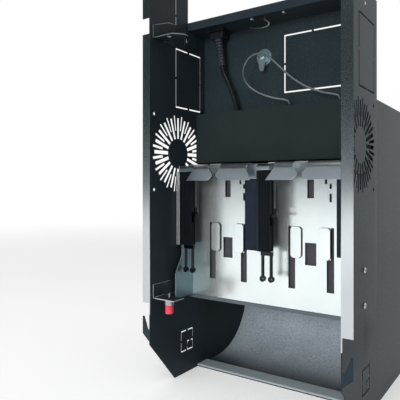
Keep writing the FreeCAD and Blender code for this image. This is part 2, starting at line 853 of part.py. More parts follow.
def magazine_shelf():
    """Shelf over both lanes, notched above the gates, with two lips bent down in front of each lane."""
    face_foot = f"({PLATE_FACE} - shelf_reach)"
    shelf_front = f"({face_foot} + lip_bend)"
    skin = box("shelf_skin", (f"-{PLATE_SIDE} - magazine_sheet", shelf_front, SHELF_UNDER),
               (f"({PLATE_SIDE} + magazine_sheet) * 2", f"{PLATE_FACE} + magazine_sheet - {shelf_front}",
                "magazine_sheet"))
    notches = []
    for number in (-1, 0, 1):
        low = (f"{number} * {LANE_PITCH} - ({LANE_PITCH} - right_bend_end)", f"{shelf_front} - shelf_notch",
               f"{SHELF_UNDER} - magazine_sheet")
        notches.append(box(f"shelf_notch_{number}", low,
                           (f"left_lip_start + {LANE_PITCH} - right_bend_end", "shelf_notch * 2",
                            "magazine_sheet * 3")))
    lips = []
    for side, boundary in LANES.items():
        for lip in ("left", "right"):
            name = f"{side}_lane_{lip}_lip"
            axis = (f"{boundary} + {lip}_bend_start", shelf_front, f"{SHELF_TOP} - lip_bend")
            width = f"{lip}_bend_end - {lip}_bend_start"
            lips.append(bend(f"{name}_bend", "lip_bend", "magazine_sheet", width, axis, TOP_FRONT))
            outline = lip_outline(lip, "(lip_drop - lip_bend)")
            corner = (f"{boundary} + {lip}_lip_start", face_foot, f"{SHELF_TOP} - lip_drop")
            lips.append(plate(f"{name}_face", "XZ", outline, "magazine_sheet", corner))
    node("magazine_shelf", fuse("shelf", [cut("shelf_notched", skin, notches)] + lips))


def magazine():
    """Bright insert with raised lances and side flanges, its spacers, and the sheet behind its windows."""
    top = f"({SHELF_UNDER} - bin_height)"
    skin = box("plate_skin", (f"-{PLATE_SIDE} - magazine_sheet", PLATE_FACE, "bin_height"),
               (f"({PLATE_SIDE} + magazine_sheet) * 2", "magazine_sheet", top))
    return_low = f"{GATE_LOW} - bin_height"
    outline = [
        ("0", "0"),
        ("flange_reach", "0"),
        ("flange_reach", top),
        ("flange_reach - return_reach", top),
        ("flange_reach - return_reach", return_low),
        ("flange_reach - flange_upper_reach", return_low),
        ("flange_reach - flange_upper_reach", "flange_step_high"),
        ("0", "flange_step_low"),
    ]
    web = plate("plate_web", "YZ", outline, "magazine_sheet",
                (f"-{PLATE_SIDE} - magazine_sheet", f"{PLATE_FACE} - flange_reach", "bin_height"))
    strip = box("plate_return",
                (f"-{PLATE_SIDE} - magazine_sheet - side_return", f"{PLATE_FACE} - return_reach", GATE_LOW),
                ("side_return + magazine_sheet", "magazine_sheet", "gate_rise"))
    flange = fuse("plate_flange", [web, strip])
    tools, lances = [], []
    for side, boundary in LANES.items():
        lane_tools, lane_lances = lane_openings(f"{side}_lane", boundary)
        tools += lane_tools
        lances += lane_lances
    folded = fuse("plate_folded", [skin, flange, mirrored("plate_flange_far", flange)] + lances)
    node("magazine_plate", cut("plate_cut", folded, tools))

    spacers = []
    for number, (_, back, up) in enumerate(MAGAZINE_SCREW_SEATS):
        at = (f"-{INNER}", back, up)
        solid = rod(f"spacer_{number}", "spacer_radius", "magazine_gap - magazine_sheet", at, "x")
        bore = rod(f"spacer_bore_{number}", "screw_radius", "magazine_gap", at, "x")
        spacer = cut(f"spacer_ring_{number}", solid, [bore])
        spacers += [spacer, mirrored(f"spacer_far_{number}", spacer)]
    node("magazine_spacers", group("spacer_set", spacers))

    low = ("-backing_width / 2", f"{PLATE_FACE} + magazine_sheet + backing_gap", "bin_height")
    upright = box("backing_upright", low, ("backing_width", "magazine_sheet", "backing_rise"))
    foot = box("backing_base", low, ("backing_width", "backing_foot", "magazine_sheet"))
    node("magazine_backing", fuse("backing", [upright, foot]))


def arc_between(start, corner, end):
    """Arc that is tangent to the two sides of a corner with equal sides."""
    middle = (start + end) * 0.5
    half = (end - start).Length / 2
    to_corner = corner - middle
    angle = math.atan2(to_corner.Length, half)
    bulge = Vector(to_corner).normalize() * (half * math.tan(angle / 2))
    return Part.Arc(start, middle + bulge, end).toShape()


def biarc(start, leaving, end, arriving):
    """Two arcs that join two points with the given directions."""
    chord = end - start
    both = leaving + arriving
    spread = 2 * (1 - leaving.dot(arriving))
    along = chord.dot(both)
    reach = (-along + math.sqrt(along * along + spread * chord.dot(chord))) / spread
    first, second = start + leaving * reach, end - arriving * reach
    joint = (first + second) * 0.5
    return [arc_between(start, first, joint), arc_between(joint, second, end)]


def self_gap(wire, diameter, curls):
    """Least gap between a wound wire and itself, measured on points a half turn or more apart."""
    points = wire.discretize(Number=int(curls) * 24 + 48)
    step = wire.Length / (len(points) - 1)
    turn = max(3, int(0.55 * wire.Length / (curls + 2) / step))
    least = min(
        points[i].distanceToPoint(points[j]) for i in range(len(points)) for j in range(i + turn, len(points))
    )
    return least - diameter


# Share of a coil's radius over which its wire turns into a lead.
LEAD_TURN = 0.6


def wound_spring(label, across, back, low, high, radius, wire, curls, low_lead, top_lead):
    """A coil of round wire with a straight lead at each end, square to what it meets."""
    coil_low, coil_high = low + low_lead, high - top_lead
    up = Vector(0, 0, 1)
    rise = coil_high - coil_low
    settle = radius * LEAD_TURN
    winding = rise - 2 * settle
    pitch = winding / curls

    def on_coil(turns):
        angle = 2 * math.pi * turns
        return Vector(radius * math.cos(angle), radius * math.sin(angle), coil_low + settle + pitch * turns)

    def along_coil(turns):
        angle = 2 * math.pi * turns
        slope = pitch / (2 * math.pi)
        return Vector(-radius * math.sin(angle), radius * math.cos(angle), slope).normalize()

    foot = on_coil(0) - along_coil(0) * settle
    head = on_coil(curls) + along_coil(curls) * settle
    foot, head = Vector(foot.x, foot.y, coil_low), Vector(head.x, head.y, coil_high)
    edges = [Part.LineSegment(Vector(foot.x, foot.y, low), foot).toShape()]
    edges += biarc(foot, up, on_coil(0), along_coil(0))
    quarters = int(round(curls * 4))
    for quarter in range(quarters):
        first, last = quarter / 4, (quarter + 1) / 4
        edges += biarc(on_coil(first), along_coil(first), on_coil(last), along_coil(last))
    edges += biarc(on_coil(curls), along_coil(curls), head, up)
    edges.append(Part.LineSegment(head, Vector(head.x, head.y, high)).toShape())
    path = Part.Wire(edges)
    section = Part.Wire([Part.Circle(Vector(foot.x, foot.y, low), up, wire / 2).toShape()])
    shell = Part.BRepOffsetAPI.MakePipeShell(path)
    shell.add(section)
    shell.build()
    shell.makeSolid()
    gap = self_gap(path, wire, curls)
    print(f"{label}: {curls:.0f} curls, least gap to itself {gap:.2f} mm")
    item = doc.addObject("Part::Feature", label)
    item.Shape = shell.shape()
    item.Placement = FreeCAD.Placement(Vector(across, back, 0), Rotation())
    return node(label, item)


ROD_BACK = f"({PLATE_FACE} - gate_reach + housing_depth / 2)"
YOKE_LOW = f"({GATE_LOW} + yoke_lift)"


def gate(side, boundary):
    """One lane's gate: bracket, ribbed housing, cap, solenoid, fork, return spring and guide."""
    front = f"{PLATE_FACE} - gate_reach"
    low = (boundary, front, GATE_LOW)
    node(f"gate_bracket_{side}", box(f"{side}_bracket", low, ("bracket_width", "gate_reach", "gate_rise")))

    left = f"({boundary} + bracket_width)"
    right = f"({left} + housing_width)"
    shell = box(f"{side}_housing", (left, front, GATE_LOW), ("housing_width", "housing_depth", "gate_rise"))
    ribs = []
    for number in range(4):
        at = (f"{left} + housing_width * {number + 0.5} / 4 - rib / 2", f"{front} - rib", GATE_LOW)
        ribs.append(box(f"{side}_front_rib_{number}", at, ("rib", "rib", "gate_rise")))
    for number in range(2):
        at = (right, f"{front} + housing_depth * {number} * 0.82 + rib / 2", GATE_LOW)
        ribs.append(box(f"{side}_side_rib_{number}", at, ("rib", "rib", "gate_rise")))
    cavity = box(f"{side}_cavity",
                 (f"{left} + housing_wall", f"{front} + housing_wall", f"{GATE_LOW} + housing_wall * 2"),
                 ("housing_width - housing_wall * 2", "housing_depth - housing_wall * 2", "gate_rise"))
    window = box(f"{side}_window",
                 (f"{right} - housing_wall * 2", f"{ROD_BACK} - rod_radius - easy_clearance",
                  f"{YOKE_LOW} - gate_travel - easy_clearance"),
                 ("housing_wall * 3", "rod_radius * 2 + easy_clearance * 2",
                  "gate_travel + yoke_rise / 2 + easy_clearance * 2"))
    stem_across = f"({boundary} + first_rod + rod_spacing / 2)"
    bore = rod(f"{side}_bore", "stem_radius + running_clearance", "housing_wall * 4",
               (stem_across, ROD_BACK, f"{GATE_LOW} - housing_wall"))
    ribbed = fuse(f"{side}_ribbed", [shell] + ribs)
    node(f"gate_housing_{side}", cut(f"{side}_shell", ribbed, [cavity, window, bore]))

    crossbar_low = f"({GATE_LOW} - easy_clearance - crossbar_rise)"
    foot_height = f"({GATE_LOW} - rod_reach)"
    yoke_left = f"({left} + housing_wall + easy_clearance)"
    lug_left = f"({right} - housing_wall * 3)"
    pieces = [
        box(f"{side}_yoke", (yoke_left, f"{ROD_BACK} - yoke_depth / 2", YOKE_LOW),
            ("housing_width - housing_wall * 2 - easy_clearance * 2", "yoke_depth", "yoke_rise")),
        box(f"{side}_lug", (lug_left, f"{ROD_BACK} - rod_radius", YOKE_LOW),
            (f"{boundary} + spring_offset + spring_radius + spring_wire - {lug_left}", "rod_radius * 2",
             "yoke_rise / 2")),
        rod(f"{side}_stem", "stem_radius", f"{YOKE_LOW} - {crossbar_low}",
            (stem_across, ROD_BACK, crossbar_low)),
        box(f"{side}_crossbar",
            (f"{boundary} + first_rod - rod_radius", f"{ROD_BACK} - rod_radius", crossbar_low),
            ("rod_spacing + rod_radius * 2", "rod_radius * 2", "crossbar_rise")),
    ]
    eyes = []
    for number in range(2):
        across = f"{boundary} + first_rod + {number} * rod_spacing"
        at = (across, f"{ROD_BACK} - foot_length / 2", foot_height)
        pieces.append(rod(f"{side}_rod_{number}", "rod_radius", f"{crossbar_low} - {foot_height}",
                          (across, ROD_BACK, foot_height)))
        pieces.append(rod(f"{side}_foot_{number}", "foot_radius", "foot_length", at, "y"))
        eyes.append(rod(f"{side}_eye_{number}", "eye_radius", "foot_length", at, "y"))
    node(f"gate_fork_{side}", cut(f"{side}_fork", fuse(f"{side}_fork_blank", pieces), eyes))

    node(f"gate_cap_{side}", box(f"{side}_cap", (boundary, f"{front} - rib", GATE_TOP),
                                 ("bracket_width + housing_width + rib", "housing_depth + rib * 2",
                                  "gate_cap_rise - gate_cap_gap")))
    node(f"gate_solenoid_{side}", box(f"{side}_solenoid",
                                      (f"{left} + (housing_width - solenoid_width) / 2",
                                       f"{ROD_BACK} - solenoid_depth / 2", f"{GATE_TOP} - solenoid_rise"),
                                      ("solenoid_width", "solenoid_depth", "solenoid_rise")))
    wound_spring(f"gate_spring_{side}", size(f"{boundary} + spring_offset"), size(ROD_BACK),
                 size(f"{YOKE_LOW} + yoke_rise / 2"), size(SHELF_UNDER), size("spring_radius"),
                 size("spring_wire"), size("spring_curls"), size("spring_low_lead"), size("spring_top_lead"))

    guide_left = f"({boundary} + {LANE_PITCH} - guide_width)"
    guide_front = f"{PLATE_FACE} - guide_reach"
    guide_rise = f"{SHELF_UNDER} - {GATE_LOW}"
    web = box(f"{side}_guide_web", (guide_left, guide_front, GATE_LOW), ("guide_width", "wall", guide_rise))
    leg = box(f"{side}_guide_leg", (guide_left, guide_front, GATE_LOW), ("wall", "guide_reach", guide_rise))
    node(f"lane_guide_{side}", fuse(f"{side}_guide", [web, leg]))


PIVOT = (f"(-{INNER} + pivot_inset)", f"({FRONT} + pivot_setback)")
BRACKET_FRONT = f"({FRONT} + bracket_setback)"


def hinge_brackets():
    """Folded brackets on the left wall for the door's upper pivot and its spring pin."""
    shelf = [
        ("0", "0"),
        ("upper_bracket_width - bracket_depth / 2", "0"),
        ("upper_bracket_width", "bracket_depth / 2"),
        ("upper_bracket_width", "bracket_depth"),
        ("0", "bracket_depth"),
    ]
    web = [
        ("0", "0"),
        ("bracket_web", "0"),
        ("bracket_web", "upper_web_rise"),
        ("bracket_web * 0.75", "upper_web_rise"),
        ("0", "upper_web_front"),
    ]
    low = (f"-{INNER}", BRACKET_FRONT, "upper_bracket_height")
    upper = [plate("upper_shelf", "XY", shelf, "wall", low), plate("upper_web", "YZ", web, "wall", low)]
    pivot = rod("upper_pivot", "pivot_radius", "wall * 3", (*PIVOT, "upper_bracket_height - wall"))
    node("upper_hinge_bracket", cut("upper_bracket", fuse("upper_folded", upper), [pivot]))

    low = (f"-{INNER}", BRACKET_FRONT, "lower_bracket_height - wall")
    lower = [
        box("lower_shelf", low, ("lower_bracket_width", "bracket_depth", "wall")),
        box("lower_web", low, ("wall", "bracket_web", "lower_web_rise + wall")),
    ]
    hole = rod("lower_pivot", "pin_radius + running_clearance", "wall * 3",
               (*PIVOT, "lower_bracket_height - wall * 2"))
    node("lower_hinge_bracket", cut("lower_bracket", fuse("lower_folded", lower), [hole]))


def spring_plunger():
    """Spring pin under the lower bracket: barrel with a collar, pin, cup-shaped pull knob, spring."""
    seat = "(lower_bracket_height - wall)"
    at = (*PIVOT, seat)
    barrel_end = "(collar_height + barrel_height)"
    bore_top, bore_end = "wall", f"({barrel_end} - wall)"
    guide = "pin_radius + running_clearance"
    profile = [
        (guide, "0"),
        ("collar_radius", "0"),
        ("collar_radius", "-collar_height"),
        ("barrel_radius", "-collar_height"),
        ("barrel_radius", f"-{barrel_end}"),
        (guide, f"-{barrel_end}"),
        (guide, f"-{bore_end}"),
        ("plunger_bore", f"-{bore_end}"),
        ("plunger_bore", f"-{bore_top}"),
        (guide, f"-{bore_top}"),
    ]
    node("plunger_body", turned("plunger_barrel", profile, at))

    knob_top = "(collar_height + easy_clearance)"
    knob_low = f"({knob_top} + knob_height)"
    pin_low = f"({knob_low} - knob_floor / 2)"
    shoulder_top = f"({bore_top} + easy_clearance)"
    tip = "(wall + pin_tip)"
    profile = [
        ("0", f"-{pin_low}"),
        ("pin_radius", f"-{pin_low}"),
        ("pin_radius", f"-{shoulder_top} - shoulder_height"),
        ("shoulder_radius", f"-{shoulder_top} - shoulder_height"),
        ("shoulder_radius", f"-{shoulder_top}"),
        ("pin_radius", f"-{shoulder_top}"),
        ("pin_radius", f"{tip} - pin_radius"),
        ("pin_radius * 0.5", tip),
        ("0", tip),
    ]
    node("hinge_pin", turned("plunger_pin", profile, at))

    cup = "barrel_radius + easy_clearance"
    profile = [
        ("0", f"-{knob_low}"),
        ("knob_radius * 0.9", f"-{knob_low}"),
        ("knob_radius", f"-{knob_low} + knob_radius * 0.1"),
        ("knob_radius", f"-{knob_top} - knob_radius * 0.1"),
        ("knob_radius * 0.94", f"-{knob_top}"),
        (cup, f"-{knob_top}"),
        (cup, f"-{knob_low} + knob_floor"),
        ("pin_radius", f"-{knob_low} + knob_floor"),
        ("pin_radius", f"-{pin_low}"),
        ("0", f"-{pin_low}"),
    ]
    node("pull_knob", turned("plunger_knob", profile, at))
    wound_spring("plunger_spring", size(PIVOT[0]), size(PIVOT[1]), size(f"{seat} - {bore_end}"),
                 size(f"{seat} - {shoulder_top} - shoulder_height"), size("plunger_spring_radius"),
                 size("plunger_spring_wire"), size("plunger_spring_curls"), size("plunger_spring_wire"),
                 size("plunger_spring_wire"))


def cam_lock():
    """Lock through the upper back panel, its key face behind and its cam inside the bay."""
    panel_front = f"({PANEL_BACK} - wall)"
    height = "ledge_height + lock_lift"
    at = ("lock_left", panel_front, height)
    turn = Rotation(Vector(1, 0, 0), 90)
    bore = "plug_radius + running_clearance"
    profile = [
        (bore, "-wall - lock_face"),
        ("lock_face_radius * 0.9", "-wall - lock_face"),
        ("lock_face_radius", "-wall - lock_face * 0.6"),
        ("lock_face_radius", "-wall"),
        ("lock_radius", "-wall"),
        ("lock_radius", "lock_length"),
        (bore, "lock_length"),
    ]
    node("lock_body", turned("lock_barrel", profile, at, turn))

    ring = rod("nut_blank", "lock_nut_radius", "lock_nut",
               ("lock_left", f"{panel_front} - lock_nut", height), "y")
    hole = rod("nut_hole", "lock_radius", "lock_nut * 3",
               ("lock_left", f"{panel_front} - lock_nut * 2", height), "y")
    node("lock_nut", cut("lock_nut_ring", ring, [hole]))

    cam_back = "(lock_length + easy_clearance)"
    profile = [
        ("0", "-wall - lock_face"),
        ("plug_radius", "-wall - lock_face"),
        ("plug_radius", cam_back),
        ("cam_neck_radius", cam_back),
        ("cam_neck_radius", f"{cam_back} + cam_thickness"),
        ("0", f"{cam_back} + cam_thickness"),
    ]
    core = turned("lock_core", profile, at, turn)
    corner = ("lock_left - keyway_width / 2", f"{PANEL_BACK} + lock_face - lock_length / 2",
              f"{height} - keyway_height / 2")
    keyway = box("keyway", corner, ("keyway_width", "lock_length", "keyway_height"))
    node("lock_plug", cut("lock_plug_cut", core, [keyway]))

    half = "cam_width / 2"
    outline = [
        (f"-{half}", f"{half} * 0.5"),
        (f"-{half} * 0.5", half),
        (f"{half} * 0.5", half),
        (half, f"{half} * 0.5"),
        (f"{half} * 0.8", "-cam_length * 0.8"),
        (f"{half} * 0.5", "-cam_length"),
        (f"-{half} * 0.5", "-cam_length"),
        (f"-{half} * 0.8", "-cam_length * 0.8"),
    ]
    cam_front = f"({panel_front} - {cam_back} - cam_thickness)"
    blank = plate("cam_blank", "XZ", outline, "cam_thickness", ("lock_left", cam_front, height))
    hole = rod("cam_hole", "cam_neck_radius", "cam_thickness * 3",
               ("lock_left", f"{cam_front} - cam_thickness", height), "y")
    node("lock_cam", cut("cam", blank, [hole]))
    profile = [
        ("0", "0"),
        ("cam_neck_radius * 1.6", "0"),
        ("cam_neck_radius * 1.6", "cam_thickness * 0.5"),
        ("cam_neck_radius", "cam_thickness"),
        ("0", "cam_thickness"),
    ]
    node("cam_screw", turned("cam_screw_head", profile, ("lock_left", cam_front, height), turn))


def power_entry():
    """Inlet in the ceiling, the connector that hangs in it, and its ribbed strain relief."""
    flange = box("inlet_rim", inlet_corner("inlet_flange", CONNECTOR_TOP),
                 ("inlet_width + inlet_flange * 2", "inlet_depth + inlet_flange * 2",
                  "inlet_flange_thickness"))
    block = box("inlet_block", inlet_corner("0", "ceiling_height"),
                ("inlet_width", "inlet_depth", "inlet_rise"))
    blades = []
    for number in (-1, 0, 1):
        low = (f"inlet_left + {number} * blade_spacing - blade_thickness / 2",
               f"{INLET_BACK} - blade_width / 2", "ceiling_height + inlet_rise")
        blades.append(box(f"inlet_blade_{number}", low, ("blade_thickness", "blade_width", "blade_length")))
    node("power_inlet", fuse("inlet", [flange, block] + blades))

    outline = [
        ("-connector_width / 2", "0"),
        ("connector_taper - connector_width / 2", "-connector_drop"),
        ("connector_width / 2 - connector_taper", "-connector_drop"),
        ("connector_width / 2", "0"),
    ]
    node("power_connector", plate("connector", "XZ", outline, "connector_depth",
                                  ("inlet_left", f"{INLET_BACK} - connector_depth / 2", CONNECTOR_TOP)))

    ribs = int(size("relief_ribs"))
    core = ("cord_radius + easy_clearance * 2", "((relief_length - relief_root) / relief_ribs)")
    profile = [("0", "-relief_length"), (core[0], "-relief_length")]
    for number in range(ribs):
        share = (number + 0.5) / ribs
        radius = f"(relief_end_radius + (relief_top_radius - relief_end_radius) * {share})"
        start = f"-relief_length + {core[1]} * {number}"
        profile += [
            (radius, f"{start} + {core[1]} * 0.05"),
            (radius, f"{start} + {core[1]} * 0.6"),
            (core[0], f"{start} + {core[1]} * 0.65"),
            (core[0], f"{start} + {core[1]} * 0.98"),
        ]
    top = "relief_top_radius"
    profile += [(top, "-relief_root"), (top, "relief_root"), ("0", "relief_root")]
    at = ("inlet_left", INLET_BACK, CONNECTOR_LOW)
    sleeve = turned("relief_sleeve", profile, at, Rotation(Vector(0, 1, 0), -size("relief_tilt")))
    above = box("relief_above",
                ("inlet_left - relief_length", f"{INLET_BACK} - relief_length", CONNECTOR_LOW),
                ("relief_length * 2", "relief_length * 2", "relief_length"))
    node("strain_relief", cut("relief", sleeve, [above]))


def round_tube(label, points, radius):
    """A round cord along straight runs joined by arcs as large as the runs allow."""
    corners = [Vector(*(size(place_text) for place_text in point)) for point in points]
    edges, radii = [], []
    start = corners[0]
    for before, corner, after in zip(corners, corners[1:], corners[2:]):
        back, ahead = before - corner, after - corner
        reach = 0.45 * min(back.Length, ahead.Length)
        first = corner + Vector(back).normalize() * reach
        last = corner + Vector(ahead).normalize() * reach
        turn = math.pi - back.getAngle(ahead)
        radii.append(reach / math.tan(turn / 2))
        edges.append(Part.LineSegment(start, first).toShape())
        edges.append(arc_between(first, corner, last))
        start = last
    edges.append(Part.LineSegment(start, corners[-1]).toShape())
    path = Part.Wire(edges)
    direction = corners[1] - corners[0]
    section = Part.Wire([Part.Circle(corners[0], direction, radius).toShape()])
    solid = path.makePipeShell([section], True, False)
    share = solid.Volume / (math.pi * radius * radius * path.Length)
    print(f"{label}: length {path.Length:.1f} mm, volume share {share:.4f}")
    print(f"{label}: radii {[round(value, 1) for value in radii]}")
    item = doc.addObject("Part::Feature", label)
    item.Shape = solid
    return node(label, item)


def cords():
    """Mains cord, signal cable, and the bent wire under the ceiling that a loom hangs in."""
    round_tube("mains_cord", CORD_POINTS, size("cord_radius"))
    round_tube("signal_cable", CABLE_POINTS, size("cable_radius"))
    round_tube("wire_hook", HOOK_POINTS, size("hook_wire"))


def electronics():
    """Board on standoffs behind the band, and the supply on the rear cover."""
    face = f"({BAND_FACE} + wall)"
    middle = "(band_low + ledge_height) / 2"
    low = ("-board_width / 2", f"{face} + standoff", f"{middle} - board_rise / 2")
    board = box("board_blank", low, ("board_width", "board_thickness", "board_rise"))
    relays = []
    for number in range(4):
        across = f"board_width * ({number} / 4 - 0.45)"
        at = (across, f"{face} + standoff + board_thickness", f"{middle} - board_rise * 0.3")
        relays.append(box(f"relay_{number}", at, ("board_width * 0.14", "standoff", "board_rise * 0.5")))
    node("control_board", fuse("board", [board] + relays))
    posts = []
    for side in (-1, 1):
        for up in (-1, 1):
            at = (f"{side} * board_width * 0.46", face, f"{middle} + {up} * board_rise * 0.42")
            posts.append(rod(f"standoff_{side}_{up}", "standoff_radius", "standoff", at, "y"))
    node("board_standoffs", group("standoff_set", posts))
    corner = ("-supply_width / 2", f"{COVER_FRONT} - supply_depth", "supply_height")
    node("power_supply", box("supply", corner, ("supply_width", "supply_depth", "supply_rise")))


def fasteners():
    """Screw groups, each one node of separate screws; those in the side walls come in mirrored pairs."""
    groups = (
        ("ceiling_screws", CEILING_SCREW_SEATS, "-z", "wall"),
        ("pan_screws", PAN_SCREW_SEATS, "+x", "wall * 2"),
        ("magazine_screws", MAGAZINE_SCREW_SEATS, "-x", MAGAZINE_GRIP),
        ("cover_screws", COVER_SCREW_SEATS, "+y", "wall * 2"),
    )
    for label, seats, faces, grip in groups:
        screws = [screw(f"{label}_{number}", seat, faces, grip) for number, seat in enumerate(seats)]
        if faces[1] == "x":
            screws += [mirrored(f"{label}_far_{number}", item) for number, item in enumerate(screws)]
        node(label, group(f"{label}_set", screws))


side_walls()
top_rail()
ceiling_pan()
upper_back_panel()
control_box_cover()
rear_housing()
delivery_bin()
magazine()
magazine_shelf()
for lane, lane_boundary in LANES.items():
    gate(lane, lane_boundary)
hinge_brackets()
spring_plunger()
cam_lock()
power_entry()
cords()
electronics()
fasteners()
doc.recompute()


def check_document():
    """Stops if any object failed, or a sub-part has no valid solid."""
    for item in doc.Objects:
        if "Invalid" in item.State or "Error" in item.State:
            raise RuntimeError(f"{item.Label} failed: {item.State}")
    for label, item in nodes.items():
        if item.Shape.isNull() or not item.Shape.isValid() or not item.Shape.Solids:
            raise RuntimeError(f"{label} has no valid solid")


check_document()
os.makedirs("parts", exist_ok=True)
for label, item in nodes.items():
    item.Shape.exportStep(f"parts/{label}.step")
print(f"{len(nodes)} sub-parts written")
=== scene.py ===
# %% [markdown]
# # An open key dispensing cabinet
# The cabinet's construction comes from its CAD model, which is loaded here as a fixed frame.
# This lesson adds what a CAD model lacks: the finish of each surface, edges that catch the light,
# the cords as soft lines, wound springs, and the small moulded pieces that a hand would touch.

# %% Load the frame
import json
import math

import bpy
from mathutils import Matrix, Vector

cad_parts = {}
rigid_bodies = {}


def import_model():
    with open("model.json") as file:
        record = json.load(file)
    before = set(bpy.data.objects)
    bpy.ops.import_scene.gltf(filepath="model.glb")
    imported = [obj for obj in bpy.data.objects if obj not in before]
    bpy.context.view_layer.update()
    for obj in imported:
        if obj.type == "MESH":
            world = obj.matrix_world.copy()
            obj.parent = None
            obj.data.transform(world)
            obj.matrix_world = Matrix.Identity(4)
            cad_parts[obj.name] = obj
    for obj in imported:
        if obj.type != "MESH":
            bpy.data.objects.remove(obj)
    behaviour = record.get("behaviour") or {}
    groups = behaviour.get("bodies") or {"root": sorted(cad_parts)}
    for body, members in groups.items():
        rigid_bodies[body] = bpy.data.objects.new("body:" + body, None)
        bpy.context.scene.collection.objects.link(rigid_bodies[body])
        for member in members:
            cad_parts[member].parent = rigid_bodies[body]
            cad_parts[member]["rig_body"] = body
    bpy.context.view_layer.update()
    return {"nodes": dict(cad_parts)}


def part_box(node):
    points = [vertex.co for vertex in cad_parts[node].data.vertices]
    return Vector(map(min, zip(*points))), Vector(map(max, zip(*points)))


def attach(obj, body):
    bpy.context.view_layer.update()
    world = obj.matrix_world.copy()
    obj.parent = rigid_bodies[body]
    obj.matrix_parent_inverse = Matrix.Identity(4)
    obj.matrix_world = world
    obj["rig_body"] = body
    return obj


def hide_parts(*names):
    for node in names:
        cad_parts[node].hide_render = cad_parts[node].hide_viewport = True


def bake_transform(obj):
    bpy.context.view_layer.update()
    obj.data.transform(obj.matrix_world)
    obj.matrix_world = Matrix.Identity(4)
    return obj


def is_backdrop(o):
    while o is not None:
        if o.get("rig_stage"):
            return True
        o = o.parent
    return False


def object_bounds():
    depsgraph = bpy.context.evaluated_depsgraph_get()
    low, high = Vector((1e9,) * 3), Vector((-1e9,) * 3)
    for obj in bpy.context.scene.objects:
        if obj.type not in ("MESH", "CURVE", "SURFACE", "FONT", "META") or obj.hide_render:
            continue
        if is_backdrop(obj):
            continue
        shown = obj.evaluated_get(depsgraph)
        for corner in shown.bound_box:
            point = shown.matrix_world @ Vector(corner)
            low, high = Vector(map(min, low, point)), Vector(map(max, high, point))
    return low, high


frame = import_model()
nodes = frame["nodes"]
MM = 0.001

# %% [markdown]
# ## Camera
# The photograph looks level into the open front from the right, at the height of the magazine's top.
# The lens and the small shift come from the vanishing points of the shelf lines and of the side wall.
# A longer lens from further off would show the same front, but less of the left wall.

# %% Camera
PHOTO_SIDE = 400
FOCAL_PIXELS = 474
CENTRE_PIXEL = (224, 187)
SENSOR = 36
EYE = (0.3075, -0.61475, 0.279)
VIEW_YAW = math.radians(33.5)
NEAREST = 0.01

bpy.ops.object.camera_add(location=EYE, rotation=(math.pi / 2, 0, VIEW_YAW))
camera = bpy.context.object
camera.data.sensor_width = SENSOR
camera.data.lens = FOCAL_PIXELS / PHOTO_SIDE * SENSOR
camera.data.shift_x = 0.5 - CENTRE_PIXEL[0] / PHOTO_SIDE
camera.data.shift_y = CENTRE_PIXEL[1] / PHOTO_SIDE - 0.5
camera.data.clip_start = NEAREST
bpy.context.scene.camera = camera
print("lens", round(camera.data.lens, 2), "shift", camera.data.shift_x, camera.data.shift_y)

# %% [markdown]
# ## Colour and node helpers
# Colours are written as they look on a screen, in hex, and turned to the linear values that a
# renderer works in. One helper adds a shader node, sets its values and makes its links, so each
# finish below reads as a short recipe.


# %% Helpers for materials
def linear(code):
    """Linear colour from an sRGB hex value."""
    parts = [int(code[i:i + 2], 16) / 255 for i in (1, 3, 5)]
    return tuple(c / 12.92 if c <= 0.04045 else ((c + 0.055) / 1.055) ** 2.4 for c in parts) + (1.0,)


def add(tree, kind, links=(), inputs=(), into=(), **settings):
    """A node with its settings and values; links come as (socket, input), into goes as (output, socket)."""
    item = tree.nodes.new(kind)
    for name, value in settings.items():
        setattr(item, name, value)
    for name, value in dict(inputs).items():
        item.inputs[name].default_value = value
    for source, name in links:
        tree.links.new(source, item.inputs[name])
    for name, target in into:
        tree.links.new(item.outputs[name], target)
    return item


def new_material(name, colour, metallic, roughness):
    """A material with its shader's plain values set, and its Object coordinates."""
    material = bpy.data.materials.new(name)
    material.use_nodes = True
    tree = material.node_tree
    shader = tree.nodes["Principled BSDF"]
    shader.inputs["Base Color"].default_value = linear(colour)
    shader.inputs["Metallic"].default_value = metallic
    shader.inputs["Roughness"].default_value = roughness
    place = add(tree, "ShaderNodeTexCoord").outputs["Object"]
    return material, tree, shader, place


# The values and the colours of a Mix node, by their places among its inputs, and its colour output.
MIX_LOW, MIX_HIGH = 2, 3
MIX_DARK, MIX_PALE, MIXED = 6, 7, 2
# Most of a noise lies between these two values, so a range that is to be used whole starts from them.
NOISE = {"From Min": 0.3, "From Max": 0.7}

# %% [markdown]
# ## Powder coats
# The cabinet is powder-coated sheet steel. Powder coat is a baked polymer skin: it has no metal
# sheen, a satin gloss, and a fine pebbled surface that breaks up reflections. The bin has a coarser,
# greyer texture, the band is almost dead matt, and the panel behind the lock is glossier. One recipe
# with a few numbers makes them all, so that they look like one workshop's paint. A flat colour with
# one roughness would look like plastic film.

# %% Powder coats
FILM_MM = 60
COAT_GLOSS_SPREAD, COAT_RELIEF = 0.07, 0.5


